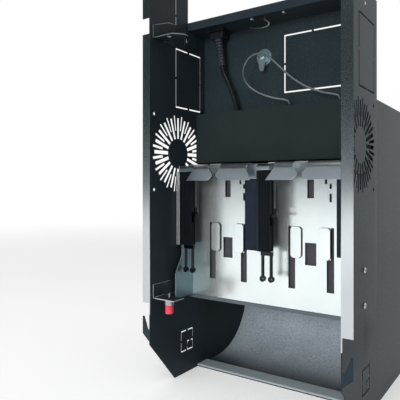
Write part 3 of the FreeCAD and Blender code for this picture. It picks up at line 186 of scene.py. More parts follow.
def powder_coat(name, dark, pale, roughness, grain_mm, height_mm, specular=0.5, fleck=0.0):
    """Baked powder coat: fine pebbles, faint clouds where the film is thicker, a share of pale flecks."""
    material, tree, shader, place = new_material(name, dark, 0.0, roughness)
    shader.inputs["Specular IOR Level"].default_value = specular
    film = add(tree, "ShaderNodeTexNoise", [(place, "Vector")],
               {"Scale": 1 / (FILM_MM * MM), "Detail": 4})
    pebbles = add(tree, "ShaderNodeTexNoise", [(place, "Vector")],
                  {"Scale": 1 / (grain_mm * MM), "Detail": 2})
    shade = add(tree, "ShaderNodeMix",
                [(film.outputs["Fac"], MIX_LOW), (pebbles.outputs["Fac"], MIX_HIGH)], {"Factor": fleck})
    add(tree, "ShaderNodeMix", [(shade.outputs["Result"], "Factor")],
        {MIX_DARK: linear(dark), MIX_PALE: linear(pale)},
        [(MIXED, shader.inputs["Base Color"])], data_type="RGBA")
    add(tree, "ShaderNodeMapRange", [(pebbles.outputs["Fac"], "Value")],
        {**NOISE, "To Min": roughness - COAT_GLOSS_SPREAD, "To Max": roughness + COAT_GLOSS_SPREAD},
        [("Result", shader.inputs["Roughness"])])
    add(tree, "ShaderNodeBump", [(pebbles.outputs["Fac"], "Height")],
        {"Distance": height_mm * MM, "Strength": COAT_RELIEF}, [("Normal", shader.inputs["Normal"])])
    return material


# Satin black: the walls look blue-black, with hardly a reflection. Grains are coarse enough to show.
satin_black = powder_coat("satin_black_powder_coat", "#1f272d", "#2e383e", 0.42, 1.2, 0.05, 0.12)
# Matt grey: the band swallows light and shows no reflection at all.
band_grey = powder_coat("matt_grey_powder_coat", "#181f21", "#242c2e", 0.8, 1.6, 0.1, 0.2)
# Textured grey: the bin is flecked and pebbled so that scratches from keys don't show on its pale slope.
bin_grey = powder_coat("textured_grey_powder_coat", "#4c5860", "#c8d4dc", 0.34, 2.6, 0.6, fleck=0.7)
# Painted shade on the flat: towards the lip the coat is painted nearly black, a painted shadow and dark
# reflection behind the lip. The painted shade fades along the depth of the bin, between these two depths.
DARKEST_AT_MM, UNSHADED_FROM_MM, PAINTED_SHADE = 0, 78, "#1f2629"
tree = bin_grey.node_tree
tint = tree.nodes["Principled BSDF"].inputs["Base Color"]
place = add(tree, "ShaderNodeTexCoord").outputs["Object"]
depth = add(tree, "ShaderNodeSeparateXYZ", [(place, "Vector")])
# Painted shade: the coat's colour is darkened from the lip back along the depth of the bin.
shade_by_depth = add(tree, "ShaderNodeMapRange", [(depth.outputs["Y"], "Value")],
             {"From Min": DARKEST_AT_MM * MM, "From Max": UNSHADED_FROM_MM * MM, "To Min": 0.0, "To Max": 1.0},
             interpolation_type="SMOOTHSTEP")
add(tree, "ShaderNodeMix", [(shade_by_depth.outputs["Result"], "Factor"), (tint.links[0].from_socket, MIX_PALE)],
    {MIX_DARK: linear(PAINTED_SHADE)}, [(MIXED, tint)], data_type="RGBA")
# Slate grey: the ledge under the magazine is a darker, smoother coat, a dull line below the bright plate.
ledge_grey = powder_coat("slate_grey_powder_coat", "#4c575c", "#5d686d", 0.45, 1.4, 0.05, 0.2)
# Pale grey: the lip in front of the bin is a lighter, smoother coat that catches light from above.
lip_grey = powder_coat("pale_grey_powder_coat", "#8d989d", "#a3aeb2", 0.4, 1.4, 0.05)
# Gloss black: the upper panel mirrors the cords in front of it.
gloss_black = powder_coat("gloss_black_powder_coat", "#1c2529", "#2b363a", 0.22, 2.0, 0.008)
# Grey primer: the sheet behind the magazine's windows is a flat mauve grey, with no gloss.
primer_grey = powder_coat("grey_primer", "#3a393e", "#494850", 0.6, 1.5, 0.04, 0.2)
print("materials with the coats", len(bpy.data.materials))

# %% [markdown]
# ## Bare and plated metals
# Rolled sheet keeps fine lines along the rolling direction, which stretch its reflections. The
# magazine is bright sheet and mirrors the dark gates beside it; its shelf is a duller zinc. Wire,
# screws and the lock are drawn or plated, with a tint of blue from the zinc's passivation. The lines
# could be painted in as stripes, but real ones only change the gloss and the relief, as here.

# %% Bare and plated metals
STAIN_MM = 45
LINE_RELIEF_MM, LINE_RELIEF = 0.001, 0.15
# Lines change the gloss by this share of the roughness.
LINE_GLOSS_SHARE = 1 / 14


def brushed_sheet(name, dark, pale, roughness, stretch, line_mm=0.7, metallic=1.0):
    """Rolled or drawn metal: fine lines along the rolling direction, and faint stains in the colour."""
    material, tree, shader, place = new_material(name, pale, metallic, roughness)
    stain = add(tree, "ShaderNodeTexNoise", [(place, "Vector")],
                {"Scale": 1 / (STAIN_MM * MM), "Detail": 4})
    add(tree, "ShaderNodeMix", [(stain.outputs["Fac"], "Factor")],
        {MIX_DARK: linear(dark), MIX_PALE: linear(pale)},
        [(MIXED, shader.inputs["Base Color"])], data_type="RGBA")
    along = add(tree, "ShaderNodeMapping", [(place, "Vector")], {"Scale": stretch})
    lines = add(tree, "ShaderNodeTexNoise", [(along.outputs["Vector"], "Vector")],
                {"Scale": 1 / (line_mm * MM), "Detail": 2})
    spare = roughness * LINE_GLOSS_SHARE
    add(tree, "ShaderNodeMapRange", [(lines.outputs["Fac"], "Value")],
        {**NOISE, "To Min": roughness - spare, "To Max": roughness + spare},
        [("Result", shader.inputs["Roughness"])])
    add(tree, "ShaderNodeBump", [(lines.outputs["Fac"], "Height")],
        {"Distance": LINE_RELIEF_MM * MM, "Strength": LINE_RELIEF}, [("Normal", shader.inputs["Normal"])])
    return material


# How much the lines are stretched along X, Y and Z: the smaller, the longer.
UPRIGHT_LINES = (1, 1, 0.02)
LEVEL_LINES = (0.02, 1, 1)
ROUND_LINES = (0.05, 0.05, 1)
NO_LINES = (1, 1, 1)
# Bright rolled steel: nearly white, with a cold tint, and soft mirror images of what stands before it.
# A thin passive film scatters a little light, so that its darkest images are grey and not black.
bright_sheet = brushed_sheet("bright_rolled_steel", "#dfecee", "#f7fbfb", 0.23, UPRIGHT_LINES,
                             metallic=0.85)
# Painted shade on the side flanges: the plate's own sheet, painted a darker blue-green as painted shade
# and painted reflection, with a duller gloss.
shaded_flange_sheet = brushed_sheet("rolled_steel_with_painted_shade", "#6b888d", "#84989c", 0.5, UPRIGHT_LINES)
# Galvanised steel: the bare front flanges, where the door seals, are dark above and pale near the floor.
galvanised = brushed_sheet("galvanised_flange", "#bfc6ca", "#d2d7da", 0.2, UPRIGHT_LINES)
# Painted edge shade: the sides of punched slots and tabs are painted dark grey, a painted shade that draws
# dark outlines.
edge_shade_sheet = brushed_sheet("steel_with_painted_edge_shade", "#2c3638", "#424c4f", 0.6, LEVEL_LINES, 0.4)
# Satin zinc: a mid grey with a blue cast, and highlights only on its bends.
satin_sheet = brushed_sheet("satin_zinc_sheet", "#9aa7af", "#b6c0c6", 0.36, LEVEL_LINES)
# Bare cut edge: a thin bright line where the shears went through the coat.
cut_edge = brushed_sheet("bare_cut_edge", "#c4c9cc", "#e6e9ea", 0.3, LEVEL_LINES, 0.4)
# Blackened steel: dark rods with a dull gleam down one side.
dark_wire = brushed_sheet("blackened_steel", "#23292c", "#3c4448", 0.3, UPRIGHT_LINES, 0.4)
# Drawn spring wire: grey, with a highlight on every curl.
spring_wire = brushed_sheet("drawn_spring_wire", "#646b71", "#8c9398", 0.24, UPRIGHT_LINES, 0.3)
# Dull drawn wire: the hook is a grey wire with a bright streak.
hook_wire = brushed_sheet("dull_drawn_wire", "#868c8d", "#a9aeae", 0.3, UPRIGHT_LINES, 0.3)
# Clear zinc plate: the screws are a bright neutral grey.
clear_zinc = brushed_sheet("clear_zinc_plate", "#98a2a5", "#bfc7c9", 0.24, NO_LINES, 1.5)
# Blue zinc plate: the lock shines blue-green.
zinc_plate = brushed_sheet("blue_zinc_plate", "#a2c8cd", "#d8f0f2", 0.42, NO_LINES, 1.5)
# Turned aluminium: the plunger's barrel is pale, with rings from the lathe.
turned_alloy = brushed_sheet("turned_aluminium", "#a2a5a9", "#bec1c5", 0.34, ROUND_LINES, 0.4)
# Turned brass: the standoffs are yellow, with rings from the lathe.
brass_bar = brushed_sheet("turned_brass", "#b08a3c", "#cda857", 0.3, ROUND_LINES, 0.4)
# Folded aluminium: the supply's case is a pale, level-brushed grey.
supply_case = brushed_sheet("folded_aluminium_case", "#a2a7aa", "#bcc0c3", 0.36, LEVEL_LINES)
print("materials with the metals", len(bpy.data.materials))

# %% [markdown]
# ## Plastics and rubber
# Moulded plastic copies the spark-eroded skin of its mould, a grain of under a millimetre. Nylon is
# satin, acetal is nearly glossy, and a cord's PVC sheath has a soft shine along its length. They share
# one recipe, because they differ only in colour, gloss and the depth of that grain.

# %% Plastics and rubber
FLOW_MM = 18
MOST_GLOSS_SPREAD, GRAIN_RELIEF = 0.05, 0.3


def moulded(name, dark, pale, roughness, grain_mm=0.9, height_mm=0.03, specular=0.5):
    """Moulded plastic or rubber: a spark-eroded grain, and faint flow marks in the colour."""
    material, tree, shader, place = new_material(name, dark, 0.0, roughness)
    shader.inputs["Specular IOR Level"].default_value = specular
    flow = add(tree, "ShaderNodeTexNoise", [(place, "Vector")],
               {"Scale": 1 / (FLOW_MM * MM), "Detail": 2})
    add(tree, "ShaderNodeMix", [(flow.outputs["Fac"], "Factor")],
        {MIX_DARK: linear(dark), MIX_PALE: linear(pale)},
        [(MIXED, shader.inputs["Base Color"])], data_type="RGBA")
    grain = add(tree, "ShaderNodeTexNoise", [(place, "Vector")],
                {"Scale": 1 / (grain_mm * MM), "Detail": 2})
    spare = min(MOST_GLOSS_SPREAD, roughness / 3)
    add(tree, "ShaderNodeMapRange", [(grain.outputs["Fac"], "Value")],
        {**NOISE, "To Min": roughness - spare, "To Max": roughness + spare},
        [("Result", shader.inputs["Roughness"])])
    add(tree, "ShaderNodeBump", [(grain.outputs["Fac"], "Height")],
        {"Distance": height_mm * MM, "Strength": GRAIN_RELIEF}, [("Normal", shader.inputs["Normal"])])
    return material


# Black nylon: the gates are dull black, with a little light on their ribs.
gate_plastic = moulded("black_nylon", "#0d1114", "#151a1e", 0.34, specular=0.08)
# Blue-black acetal: the guides are smooth and dark, with a cold blue tint.
guide_gloss = moulded("blue_black_acetal", "#121923", "#1c2632", 0.18, 4.0, 0.02, 0.1)
# Red plastic: the knob is a clear signal red with a soft shine.
knob_plastic = moulded("red_knob_plastic", "#d02a40", "#ea4a5e", 0.22)
# Black PVC: the mains cord is near black, with a dull line of light.
cord_sheath = moulded("black_pvc_sheath", "#0d0f13", "#16191f", 0.36)
# Grey PVC: the signal cable is shiny, light along the top and dark below.
cable_sheath = moulded("grey_pvc_sheath", "#394044", "#52595d", 0.16, specular=1.0)
# Moulded PVC: the connector is black with a trace of violet.
connector_rubber = moulded("black_moulded_pvc", "#14141b", "#1f1f29", 0.38)
# Flexed PVC: the strain relief is a paler grey than the connector, so that its ribs stand out in the light.
relief_rubber = moulded("flexed_grey_pvc", "#23252c", "#3c3f49", 0.3)
# Rubber: the grommets are dead black.
grommet_rubber = moulded("black_grommet_rubber", "#121415", "#191b1d", 0.6)
# Solder mask: the board is a glossy green.
board_mask = moulded("green_solder_mask", "#14502a", "#1d6436", 0.35)
# Coil wrap: the solenoids are wound in an amber tape.
coil_wrap = moulded("amber_coil_wrap", "#7a4a1c", "#96602a", 0.35)
print("materials with the plastics", len(bpy.data.materials))

# %% [markdown]
# ## A finish for every piece
# Each CAD piece takes one finish, named in a single list, as a paint shop's job card would have it.
# The list could be kept in the pieces' own cells, but here one look shows which pieces share a finish.

# %% Give every CAD piece its finish
FINISHES = {
    satin_black: ["left_side_wall", "right_side_wall", "top_rail", "ceiling_pan", "rear_housing",
                  "rear_cover", "upper_hinge_bracket", "lower_hinge_bracket"],
    gloss_black: ["upper_back_panel"],
    band_grey: ["control_box_cover"],
    bin_grey: ["bin_floor"],
    ledge_grey: ["bin_top_ledge"],
    lip_grey: ["bin_front_lip"],
    primer_grey: ["magazine_backing"],
    bright_sheet: ["magazine_plate"],
    satin_sheet: ["magazine_shelf", "magazine_spacers", "gate_cap_left", "gate_cap_right"],
    gate_plastic: ["gate_housing_left", "gate_housing_right"],
    guide_gloss: ["lane_guide_left", "lane_guide_right"],
    dark_wire: ["gate_fork_left", "gate_fork_right", "gate_bracket_left", "gate_bracket_right"],
    hook_wire: ["wire_hook"],
    spring_wire: ["gate_spring_left", "gate_spring_right", "plunger_spring", "hinge_pin"],
    clear_zinc: ["ceiling_screws", "pan_screws", "magazine_screws", "cover_screws"],
    zinc_plate: ["lock_body", "lock_nut", "lock_plug", "lock_cam", "cam_screw"],
    knob_plastic: ["pull_knob"],
    turned_alloy: ["plunger_body"],
    cord_sheath: ["mains_cord"],
    cable_sheath: ["signal_cable"],
    connector_rubber: ["power_inlet", "power_connector"],
    relief_rubber: ["strain_relief"],
    grommet_rubber: ["cord_grommet", "cable_grommets"],
    board_mask: ["control_board"],
    brass_bar: ["board_standoffs"],
    coil_wrap: ["gate_solenoid_left", "gate_solenoid_right"],
    supply_case: ["power_supply"],
}
FINISH_OF = {}
for finish, names in FINISHES.items():
    for name in names:
        FINISH_OF[name] = finish
        nodes[name].data.materials.clear()
        nodes[name].data.materials.append(finish)
print("finishes", len(FINISHES), "on", len(FINISH_OF), "CAD pieces")

# %% [markdown]
# ## Cords
# The mains cord hangs from its moulded strain relief and goes down through the ledge. The thin signal
# cable comes up from the ledge, loops round in front of the lock and goes down again. Both are smooth
# NURBS lines on the points of the CAD routes, with a round bevel for the sheath. A poly line with
# rounded corners would look like bent wire.

# %% Cord routes, in millimetres
CORD_ROUTE = [
    (-90.43, -17.75, 461.52),
    (-88.87, -17.75, 451.64),
    (-79.0, -16.6, 433.5),
    (-71.4, -15.2, 412.5),
    (-67.0, -14.8, 400.0),
    (-67.0, -14.8, 388.5),
]
CABLE_ROUTE = [
    (20.4, -14.8, 388.5),
    (20.4, -14.8, 398.5),
    (11.5, -17.4, 401.2),
    (-6.0, -22.9, 404.8),
    (-26.4, -27.8, 414.0),
    (-41.8, -29.8, 426.9),
    (-47.4, -30.8, 443.2),
    (-42.0, -30.8, 458.3),
    (-31.3, -30.9, 466.7),
    (-17.6, -30.8, 467.6),
    (-3.0, -30.8, 459.4),
    (11.0, -29.8, 445.0),
    (27.6, -26.8, 428.3),
    (46.4, -22.8, 414.6),
    (67.0, -18.2, 405.2),
    (84.5, -15.2, 401.2),
    (92.4, -14.8, 398.5),
    (92.4, -14.8, 388.5),
]
print("route points", len(CORD_ROUTE), len(CABLE_ROUTE))


# %% Cords
CURVE_ORDER, CURVE_STEPS, ROUND_STEPS = 3, 8, 5


def wire_curve(name, route, diameter_mm):
    """A round wire on a smooth NURBS line, with the route's points as its control points."""
    curve = bpy.data.curves.new(name, "CURVE")
    curve.dimensions = "3D"
    spline = curve.splines.new("NURBS")
    spline.points.add(len(route) - 1)
    for point, place in zip(spline.points, route):
        point.co = (*(value * MM for value in place), 1)
    spline.order_u = CURVE_ORDER
    spline.use_endpoint_u = True
    spline.resolution_u = CURVE_STEPS
    curve.bevel_depth = diameter_mm / 2 * MM
    curve.bevel_resolution = ROUND_STEPS
    curve.use_fill_caps = True
    wire = bpy.data.objects.new(name, curve)
    bpy.context.scene.collection.objects.link(wire)
    return wire


def stand_for(piece, node):
    """A finished piece rides on its node's body and stands for it, while the node is hidden."""
    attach(piece, nodes[node]["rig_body"])
    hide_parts(node)


def lay_cord(name, node, route, diameter_mm, length_mm, **facts):
    """A round cord with its real thickness, which stands for a CAD node; its length is only printed."""
    cord = wire_curve(name, route, diameter_mm)
    cord.data.materials.append(FINISH_OF[node])
    stand_for(cord, node)
    print(name, length_mm, "mm long,", diameter_mm, "mm thick")


lay_cord("mains_lead", "mains_cord", CORD_ROUTE, 7.0, 77.6, stiffness="medium", lay="hanging")
lay_cord("signal_lead", "signal_cable", CABLE_ROUTE, 3.0, 281.2, stiffness="stiff", lay="loose")

# %% [markdown]
# ## Edges that catch the light
# A CAD solid has perfectly sharp edges, and a real folded sheet never does: its folds are round and
# its cut edges are broken. A copy of each sheet piece is merged into one skin, its flat triangles are
# dissolved into whole faces, and a Bevel modifier rounds what is left. Normals weighted by area keep
# the large faces flat, so that a bright sheet mirrors without ripples. Modelling each sheet again would
# only repeat the CAD, and a bevel in the shader would be lost in an export.


# %% Rounded copies of the sheet pieces
WELD_MM = 0.01
FLAT_WITHIN, SHARP_FROM, SMOOTH_WITHIN = (math.radians(angle) for angle in (0.5, 35, 50))


def solo(piece):
    """Only this piece is selected and active, so an operator acts on it alone."""
    bpy.ops.object.select_all(action="DESELECT")
    piece.select_set(True)
    bpy.context.view_layer.objects.active = piece


def skin_copy(node, name):
    """A copy of a CAD piece as one closed skin of whole faces."""
    piece = bpy.data.objects.new(name, nodes[node].data.copy())
    bpy.context.scene.collection.objects.link(piece)
    solo(piece)
    bpy.ops.mesh.customdata_custom_splitnormals_clear()
    bpy.ops.object.mode_set(mode="EDIT")
    bpy.ops.mesh.select_all(action="SELECT")
    bpy.ops.mesh.remove_doubles(threshold=WELD_MM * MM)
    bpy.ops.mesh.dissolve_limited(angle_limit=FLAT_WITHIN)
    bpy.ops.object.mode_set(mode="OBJECT")
    return piece


def finish_with(piece, kind, **settings):
    """Adds a modifier with its settings and applies it."""
    modifier = piece.modifiers.new(kind.lower(), kind)
    for name, value in settings.items():
        setattr(modifier, name, value)
    solo(piece)
    bpy.ops.object.modifier_apply(modifier=modifier.name)


def break_edges(piece, edge_mm, segments=2, slot=-1):
    """Rounds the sharp edges; slot is the material of the rounding, or -1 for that of its neighbours."""
    finish_with(piece, "BEVEL", width=edge_mm * MM, segments=segments, limit_method="ANGLE",
                angle_limit=SHARP_FROM, material=slot)
    bpy.ops.object.shade_smooth_by_angle(angle=SMOOTH_WITHIN)
    finish_with(piece, "WEIGHTED_NORMAL", keep_sharp=True)


def rounded(node, edge_mm, segments=2):
    """An edge-rounded copy that stands for a CAD piece."""
    piece = skin_copy(node, f"{node}_rounded")
    break_edges(piece, edge_mm, segments)
    stand_for(piece, node)
    return piece


def repaint(piece, finish, wanted):
    """Gives another finish to the faces that a test accepts, and counts them."""
    piece.data.materials.append(finish)
    chosen = [face for face in piece.data.polygons if wanted(face)]
    for face in chosen:
        face.material_index = len(piece.data.materials) - 1
    return len(chosen)


SHEET_EDGES_MM = {
    "left_side_wall": 0.5, "right_side_wall": 0.5, "top_rail": 0.6, "ceiling_pan": 0.6,
    "upper_back_panel": 0.3, "control_box_cover": 0.7, "rear_housing": 0.6, "rear_cover": 0.5,
    "bin_floor": 0.5, "bin_front_lip": 0.7, "bin_top_ledge": 0.7, "magazine_plate": 0.5,
    "lane_guide_left": 0.6, "lane_guide_right": 0.6,
}
sheets = {node: rounded(node, edge_mm) for node, edge_mm in SHEET_EDGES_MM.items()}
print("rounded sheets", len(sheets))

# %% [markdown]
# ## Bare flanges and painted edge shade
# The door's seal lies on the front flanges of the walls, and these are left bare. The side flanges of
# the magazine are the same sheet as its plate, painted a darker blue-green as painted shade and painted
# reflection. The sides of the magazine's slots and tabs are painted dark grey as painted shade. These
# faces are found by where they point and where they are, and take other materials on the same piece.
# Below the notch for the door's lower edge the walls are coated again, so a cut divides their skin there.
# A zinc clip holds the top of each lane guide under the shelf, and it is divided off in the same way.

# %% Bare flanges and painted edge shade
WALL_OUTSIDE_MM, FLANGE_INSIDE_MM, BARE_FROM_MM, CLIP_FROM_MM = 136, 126, 104, 290
# A face points along an axis if its normal has more than FACING there. The plate's own faces have all
# of it along Y, and whatever has less than LESS_THAN_FLAT is the side of a cut or its rounding, painted
# dark as painted shade.
FACING, LESS_THAN_FLAT = 0.9, 0.95


def divide(piece, height_mm):
    """Divides a skin along a level line, and keeps both sides."""
    solo(piece)
    bpy.ops.object.mode_set(mode="EDIT")
    bpy.ops.mesh.select_all(action="SELECT")
    bpy.ops.mesh.bisect(plane_co=(0, 0, height_mm * MM), plane_no=(0, 0, 1))
    bpy.ops.object.mode_set(mode="OBJECT")


def is_bare(face):
    """A face on the front of a wall's flange, above the notch."""
    outside = abs(face.center.x) > WALL_OUTSIDE_MM * MM
    return face.normal.y < -FACING and outside and face.center.z > BARE_FROM_MM * MM


def is_flange(face):
    """A face on a side flange of the magazine."""
    return abs(face.normal.x) > FACING and abs(face.center.x) > FLANGE_INSIDE_MM * MM


def is_painted_edge_shade(face):
    """A face on the side of a slot or tab of the magazine, or on its rounding: these are painted dark as
    painted shade.
    """
    return abs(face.normal.y) < LESS_THAN_FLAT and abs(face.center.x) < FLANGE_INSIDE_MM * MM


def is_clip(face):
    """A face on the top of a lane guide, under the shelf."""
    return face.center.z > CLIP_FROM_MM * MM


for node in ("left_side_wall", "right_side_wall"):
    divide(sheets[node], BARE_FROM_MM)
    print(node, "bare faces", repaint(sheets[node], galvanised, is_bare))
# The side flanges take a darker copy of the plate's sheet, as painted shade and painted reflection.
print("magazine flange faces", repaint(sheets["magazine_plate"], shaded_flange_sheet, is_flange))
# The sides of slots and tabs are painted dark grey, as painted shade.
print("magazine sheared faces", repaint(sheets["magazine_plate"], edge_shade_sheet, is_painted_edge_shade))
for node in ("lane_guide_left", "lane_guide_right"):
    divide(sheets[node], CLIP_FROM_MM)
    print(node, "clip faces", repaint(sheets[node], satin_sheet, is_clip))

# %% [markdown]
# ## Bare cut edges
# The hinge brackets and the magazine's shelf were cut after their finish, so their thin edges shine.
# A face counts as a cut edge if it is a strip about as wide as the sheet: twice its area over its
# perimeter tells a strip from a panel, whatever way it runs.

# %% Brackets and shelf with bare edges
STRIP_MM = 1.6


def is_strip(face):
    """A face of the piece in hand that is about as wide as the sheet is thick."""
    corners = [piece.data.vertices[index].co for index in face.vertices]
    around = sum((corner - corners[number - 1]).length for number, corner in enumerate(corners))
    return 2 * face.area / around < STRIP_MM * MM


for node, edge_mm in (("upper_hinge_bracket", 0.6), ("lower_hinge_bracket", 0.6), ("magazine_shelf", 0.3)):
    piece = skin_copy(node, f"{node}_cut")
    strips = repaint(piece, cut_edge, is_strip)
    break_edges(piece, edge_mm, slot=1)
    stand_for(piece, node)
    print(node, "bare strips", strips)

# %% [markdown]
# ## Moulded and machined pieces
# Mouldings have generous radii so that they leave the mould, and turned pieces have a small chamfer.
# They take the same rounding as the sheets, with a radius for each kind of piece.

# %% Rounded mouldings
MOULDED_EDGES_MM = {
    "gate_housing_left": 0.3, "gate_housing_right": 0.3, "gate_cap_left": 1.0, "gate_cap_right": 1.0,
    "gate_bracket_left": 0.4, "gate_bracket_right": 0.4, "gate_fork_left": 0.5, "gate_fork_right": 0.5,
    "power_inlet": 0.3, "power_connector": 1.8, "lock_nut": 0.8, "lock_cam": 0.5, "lock_body": 0.4,
    "cam_screw": 0.4, "power_supply": 0.8, "plunger_body": 0.5,
}
MOULDED_STEPS = 3
for node, edge_mm in MOULDED_EDGES_MM.items():
    rounded(node, edge_mm, MOULDED_STEPS)
print("rounded mouldings", len(MOULDED_EDGES_MM))

# %% [markdown]
# ## Wound springs
# Each gate is pulled up by an extension spring, and the hinge pin is pushed up by a small one in its
# barrel. A coil is a line that climbs as it turns, so points are laid on a helix and a round bevel
# gives the wire.


# %% Springs
# A coil's points lie close together, so its line and its round need fewer steps than a cord's.
TURN_STEPS, COIL_STEPS, COIL_ROUND_STEPS = 16, 2, 3


def wind_spring(node, moving, centre_mm, low_mm, high_mm, radius_mm, wire_mm, curls, leads_mm, reach_mm=0):
    """A coil with straight leads, wound on a helix between two heights.

    leads_mm are the low and the top lead; reach_mm is not used.
    """
    coil_low, coil_high = low_mm + leads_mm[0], high_mm - leads_mm[1]
    steps = curls * TURN_STEPS
    route = [(radius_mm, 0, low_mm), (radius_mm, 0, (low_mm + coil_low) / 2)]
    for step in range(steps + 1):
        angle = 2 * math.pi * step / TURN_STEPS
        height = coil_low + (coil_high - coil_low) * step / steps
        route.append((radius_mm * math.cos(angle), radius_mm * math.sin(angle), height))
    route += [(radius_mm, 0, (high_mm + coil_high) / 2), (radius_mm, 0, high_mm)]
    route = [(centre_mm[0] + x, centre_mm[1] + y, z) for x, y, z in route]
    spring = wire_curve(f"{node}_coil", route, wire_mm)
    spring.data.splines[0].resolution_u = COIL_STEPS
    spring.data.bevel_resolution = COIL_ROUND_STEPS
    solo(spring)
    bpy.ops.object.convert(target="MESH")
    bpy.ops.object.shade_smooth()
    spring = bpy.context.object
    spring.data.materials.append(spring_wire)
    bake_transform(spring)
    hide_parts(node)
    print(node, curls, "curls of", wire_mm, "mm wire")


GATE_COIL = {"radius_mm": 2.9, "wire_mm": 1.3, "curls": 15, "leads_mm": (7.5, 10.0)}
PIN_COIL = {"radius_mm": 2.2, "wire_mm": 0.5, "curls": 5, "leads_mm": (0.5, 0.5), "reach_mm": 4.0}
for side in ("left", "right"):
    node = f"gate_spring_{side}"
    low, high = (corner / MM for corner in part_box(node))
    middle = ((low.x + high.x) / 2, (low.y + high.y) / 2)
    wind_spring(node, f"{side}_gate", middle, low.z, high.z, **GATE_COIL)
low, high = (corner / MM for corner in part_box("plunger_spring"))
pin_low, pin_high = (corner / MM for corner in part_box("hinge_pin"))
pin_axis = ((pin_low.x + pin_high.x) / 2, (pin_low.y + pin_high.y) / 2)
wind_spring("plunger_spring", "hinge_plunger", pin_axis, low.z, high.z, **PIN_COIL)

# %% [markdown]
# ## Pull knob
# The red knob is what a service hand pulls to free the door. It is a moulded cup that slides over the
# plunger's barrel, with flutes for the fingertips. It starts as a many-sided cylinder: the top is inset
# and sunk for the barrel, every third side is pushed in for a flute, and a bevel softens the lot.


# %% Pull knob
def select_faces(piece, wanted):
    """Selects the faces that a test accepts, in object mode, then enters edit mode."""
    bpy.ops.object.mode_set(mode="EDIT")
    bpy.ops.mesh.select_mode(type="FACE")
    bpy.ops.mesh.select_all(action="DESELECT")
    bpy.ops.object.mode_set(mode="OBJECT")
    for face in piece.data.polygons:
        face.select = wanted(face)
    bpy.ops.object.mode_set(mode="EDIT")


def settle(piece):
    """Puts a piece's place into its mesh."""
    solo(piece)
    bpy.ops.object.transform_apply(location=True, rotation=True, scale=True)


KNOB_SIDES, SIDES_PER_FLUTE = 36, 3
KNOB_WALL_MM, KNOB_FLOOR_MM, KNOB_EDGE_MM = 1.2, 2.5, 0.25
FLUTE_MM, FLUTE_RIM_MM, SKIN_MM = 0.35, 0.12, 0.3
low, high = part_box("pull_knob")
middle = (low + high) / 2
bpy.ops.object.select_all(action="DESELECT")
bpy.ops.mesh.primitive_cylinder_add(vertices=KNOB_SIDES, radius=(high.x - low.x) / 2,
                                    depth=high.z - low.z, location=middle)
knob = bpy.context.object
knob.name = "fluted_pull_knob"
sink = low.z - high.z + KNOB_FLOOR_MM * MM
select_faces(knob, lambda face: face.normal.z > FACING)
bpy.ops.mesh.inset(thickness=KNOB_WALL_MM * MM)
bpy.ops.mesh.extrude_region_move(TRANSFORM_OT_translate={"value": (0, 0, sink)})
bpy.ops.object.mode_set(mode="OBJECT")


def is_flute(face):
    """Every third side of the knob, counted round its axis."""
    outer = Vector(face.center[:2]).length > (high.x - low.x) / 2 - SKIN_MM * MM
    number = math.atan2(face.center.y, face.center.x) / (2 * math.pi) * KNOB_SIDES
    return outer and abs(face.normal.z) < 1 - FACING and math.floor(number) % SIDES_PER_FLUTE == 0


select_faces(knob, is_flute)
bpy.ops.mesh.inset(thickness=FLUTE_RIM_MM * MM, use_individual=True)
bpy.ops.transform.shrink_fatten(value=-FLUTE_MM * MM)
bpy.ops.object.mode_set(mode="OBJECT")
settle(knob)
break_edges(knob, KNOB_EDGE_MM)
knob.data.materials.append(knob_plastic)
stand_for(knob, "pull_knob")
print("knob faces", len(knob.data.polygons))

# %% [markdown]
# ## Screws
# The pan-head screws have a cross recess, which is what tells a screw from a rivet at a glance. One
# head is modelled for each kind: a short cylinder, its rim rounded, a shank extruded below, and a
# cross of two bars cut out. Its copies go where the CAD screws are, which are found by taking a copy
# of the node apart into its loose pieces.

# %% Screws
HEAD_MM = {"radius": 3.6, "height": 2.0, "rim": 1.1, "shank": 2.0}
CROSS_MM = {"length": 3.6, "width": 0.9, "depth": 1.1}
HEAD_SIDES, RIM_STEPS, HEAD_SMOOTH = 32, 4, math.radians(30)


def pan_head(grip_mm):
    """A pan-head screw on the Z axis with its seat at the origin."""
    bpy.ops.object.select_all(action="DESELECT")
    bpy.ops.mesh.primitive_cylinder_add(vertices=HEAD_SIDES, radius=HEAD_MM["radius"] * MM,
                                        depth=HEAD_MM["height"] * MM,
                                        location=(0, 0, HEAD_MM["height"] / 2 * MM))
    head = bpy.context.object
    select_faces(head, lambda face: face.normal.z > FACING)
    bpy.ops.mesh.bevel(offset=HEAD_MM["rim"] * MM, segments=RIM_STEPS, affect="EDGES")
    bpy.ops.object.mode_set(mode="OBJECT")
    select_faces(head, lambda face: face.normal.z < -FACING)
    bpy.ops.mesh.inset(thickness=(HEAD_MM["radius"] - HEAD_MM["shank"]) * MM)
    bpy.ops.mesh.extrude_region_move(TRANSFORM_OT_translate={"value": (0, 0, -grip_mm * MM)})
    bpy.ops.object.mode_set(mode="OBJECT")
    settle(head)
    cross = [value * MM for value in (CROSS_MM["length"], CROSS_MM["width"], CROSS_MM["depth"] * 2)]
    for turn in (0, math.pi / 2):
        bpy.ops.object.select_all(action="DESELECT")
        bpy.ops.mesh.primitive_cube_add(size=1, location=(0, 0, HEAD_MM["height"] * MM),
                                        rotation=(0, 0, turn), scale=cross)
        bar = bpy.context.object
        finish_with(head, "BOOLEAN", object=bar, operation="DIFFERENCE", solver="EXACT")
        bpy.data.objects.remove(bar)
    solo(head)
    bpy.ops.object.shade_smooth_by_angle(angle=HEAD_SMOOTH)
    return head


def loose_boxes(node):
    """Boxes of the loose pieces of a CAD node."""
    piece = skin_copy(node, f"{node}_apart")
    bpy.ops.object.mode_set(mode="EDIT")
    bpy.ops.mesh.select_all(action="SELECT")
    bpy.ops.mesh.separate(type="LOOSE")
    bpy.ops.object.mode_set(mode="OBJECT")
    boxes = []
    for item in list(bpy.context.selected_objects):
        corners = [Vector(corner) for corner in item.bound_box]
        boxes.append((corners[0], corners[6]))
        bpy.data.objects.remove(item)
    return boxes


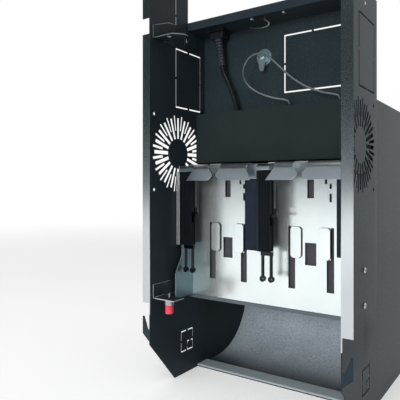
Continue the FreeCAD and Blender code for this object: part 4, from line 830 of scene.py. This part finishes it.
def set_screws(node, grip_mm, facing):
    """Puts a screw on each loose piece of a node; facing gives the head's direction from a middle point."""
    head = pan_head(grip_mm)
    copies = []
    for low, high in loose_boxes(node):
        middle = (low + high) / 2
        out = facing(middle)
        reach = sum(abs(out[axis]) * (high[axis] - low[axis]) / 2 for axis in range(3))
        copy = bpy.data.objects.new(f"{node}_{len(copies)}", head.data.copy())
        bpy.context.scene.collection.objects.link(copy)
        copy.location = middle + out * (reach - HEAD_MM["height"] * MM)
        copy.rotation_euler = out.to_track_quat("Z", "Y").to_euler()
        copies.append(copy)
    bpy.data.objects.remove(head)
    bpy.ops.object.select_all(action="DESELECT")
    for copy in copies:
        copy.select_set(True)
    bpy.context.view_layer.objects.active = copies[0]
    bpy.ops.object.join()
    screws = bpy.context.object
    screws.name = f"{node}_cross_head"
    settle(screws)
    screws.data.materials.append(clear_zinc)
    stand_for(screws, node)
    print(node, len(copies), "screws")


def inward(middle):
    """Towards the middle of the cabinet, along X."""
    return Vector((-math.copysign(1, middle.x), 0, 0))


GRIP_MM = {"ceiling_screws": 1.5, "pan_screws": 3.0, "magazine_screws": 7.3, "cover_screws": 3.0}
HEAD_FACES = {
    "ceiling_screws": lambda middle: Vector((0, 0, -1)),
    "pan_screws": inward,
    "magazine_screws": lambda middle: -inward(middle),
    "cover_screws": lambda middle: Vector((0, 1, 0)),
}
for node, grip_mm in GRIP_MM.items():
    set_screws(node, grip_mm, HEAD_FACES[node])

# %% [markdown]
# ## Studio
# The photograph is a cut-out on white. A white floor runs back into a white room, which the camera and
# the reflections both see. The side of the room behind the camera is dim, as a studio is: so bright
# metal is white where it mirrors the floor and dark where it mirrors the studio, and black paint stays
# black. More light on the object would also give white, but it would wash out every colour.

# %% Floor
FLOOR_SIDE, FIBRE_MM = 14, 400
# The paper glows a little for the eye and for reflections, more in the distance than near the object.
NEAR, FAR = 0.8, 4.0
LIFT_NEAR, LIFT_FAR = 0.24, 0.55
bpy.ops.object.select_all(action="DESELECT")
bpy.ops.mesh.primitive_plane_add(size=FLOOR_SIDE, location=(0, 0, 0))
floor = bpy.context.object
floor.name = "studio_floor"
paper, tree, shader, place = new_material("floor_paper", "#fafafa", 0.0, 0.9)
fibres = add(tree, "ShaderNodeTexNoise", [(place, "Vector")], {"Scale": 1 / (FIBRE_MM * MM)})
add(tree, "ShaderNodeMix", [(fibres.outputs["Fac"], "Factor")],
    {MIX_DARK: linear("#f8f8f8"), MIX_PALE: linear("#fcfcfc")}, [(MIXED, shader.inputs["Base Color"])],
    data_type="RGBA")
ray = add(tree, "ShaderNodeLightPath")
seen = add(tree, "ShaderNodeMath",
           [(ray.outputs["Is Camera Ray"], 0), (ray.outputs["Is Glossy Ray"], 1)], operation="MAXIMUM")
seen = add(tree, "ShaderNodeMath",
           [(seen.outputs["Value"], 0), (ray.outputs["Is Transmission Ray"], 1)], operation="MAXIMUM")
away = add(tree, "ShaderNodeVectorMath", [(place, 0)], operation="LENGTH")
lift = add(tree, "ShaderNodeMapRange", [(away.outputs["Value"], "Value")],
           {"From Min": NEAR, "From Max": FAR, "To Min": LIFT_NEAR, "To Max": LIFT_FAR},
           interpolation_type="SMOOTHSTEP")
add(tree, "ShaderNodeMath", [(seen.outputs["Value"], 0), (lift.outputs["Result"], 1)],
    into=[("Value", shader.inputs["Emission Strength"])], operation="MULTIPLY")
shader.inputs["Emission Color"].default_value = linear("#ffffff")
floor.data.materials.append(paper)
floor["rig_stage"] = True
print("floor", floor.name)

# %% Room
ROOM_STRENGTH = 0.45
STUDIO_DARK, STUDIO_LEVEL = "#2f393c", "#616b6f"
# Directions from the object: the dim side gives way to white between these parts of Y, and from the
# level of the eye up to this part of Z the dim side goes dark.
DIM_SIDE, WHITE_SIDE, DARK_ABOVE = -0.35, 0.25, 0.2
world = bpy.data.worlds.new("studio_room")
bpy.context.scene.world = world
world.use_nodes = True
tree = world.node_tree
toward = add(tree, "ShaderNodeTexCoord").outputs["Generated"]
parts = add(tree, "ShaderNodeSeparateXYZ", [(toward, "Vector")])
behind = add(tree, "ShaderNodeMapRange", [(parts.outputs["Y"], "Value")],
             {"From Min": DIM_SIDE, "From Max": WHITE_SIDE, "To Min": 0.0, "To Max": 1.0},
             interpolation_type="SMOOTHSTEP")
height = add(tree, "ShaderNodeMapRange", [(parts.outputs["Z"], "Value")],
             {"From Min": 0.0, "From Max": DARK_ABOVE, "To Min": 1.0, "To Max": 0.0},
             interpolation_type="SMOOTHSTEP")
studio = add(tree, "ShaderNodeMix", [(height.outputs["Result"], "Factor")],
             {MIX_DARK: linear(STUDIO_DARK), MIX_PALE: linear(STUDIO_LEVEL)}, data_type="RGBA")
ray = add(tree, "ShaderNodeLightPath")
room = tree.nodes["Background"]
room.inputs["Color"].default_value = linear("#ffffff")
room.inputs["Strength"].default_value = ROOM_STRENGTH
white = add(tree, "ShaderNodeBackground", inputs={"Color": linear("#ffffff"), "Strength": 1.0})
dim = add(tree, "ShaderNodeBackground", [(studio.outputs[MIXED], "Color")], {"Strength": 1.0})
mirrored = add(tree, "ShaderNodeMixShader",
               [(behind.outputs["Result"], "Fac"), (dim.outputs["Background"], 1),
                (white.outputs["Background"], 2)])
lit = add(tree, "ShaderNodeMixShader",
          [(ray.outputs["Is Glossy Ray"], "Fac"), (room.outputs["Background"], 1),
           (mirrored.outputs["Shader"], 2)])
seen = add(tree, "ShaderNodeMath",
           [(ray.outputs["Is Camera Ray"], 0), (ray.outputs["Is Transmission Ray"], 1)],
           operation="MAXIMUM")
add(tree, "ShaderNodeMixShader",
    [(seen.outputs["Value"], "Fac"), (lit.outputs["Shader"], 1), (white.outputs["Background"], 2)],
    into=[("Shader", tree.nodes["World Output"].inputs["Surface"])])
print("room strength", ROOM_STRENGTH)

# %% [markdown]
# ## Lamps
# A large softbox low in front lights the slope of the bin and the backs of the bays, which a lamp from
# above would leave in the shade. A weaker one above and in front draws the highlights on edges and puts
# a soft shadow round the base. The low one isn't mirrored, or it would burn a white patch in the plate.


# %% Lamps
def softbox(name, place, aim, size, power, mirrored=True):
    """A square soft light that faces a point; mirrored says whether shiny surfaces show it."""
    turn = (Vector(aim) - Vector(place)).to_track_quat("-Z", "Y").to_euler()
    bpy.ops.object.light_add(type="AREA", location=place, rotation=turn)
    lamp = bpy.context.object
    lamp.name = name
    lamp.data.size = size
    lamp.data.energy = power
    lamp.visible_glossy = mirrored


softbox("low_softbox", (0.3, -4.6, 1.1), (0, 0, 0.1), 1.6, 150, False)
softbox("top_softbox", (0.2, -1.3, 1.9), (0, 0, 0.2), 1.0, 12)
bpy.context.scene.view_settings.view_transform = "Standard"

# %% Sizes and finish
low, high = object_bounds()
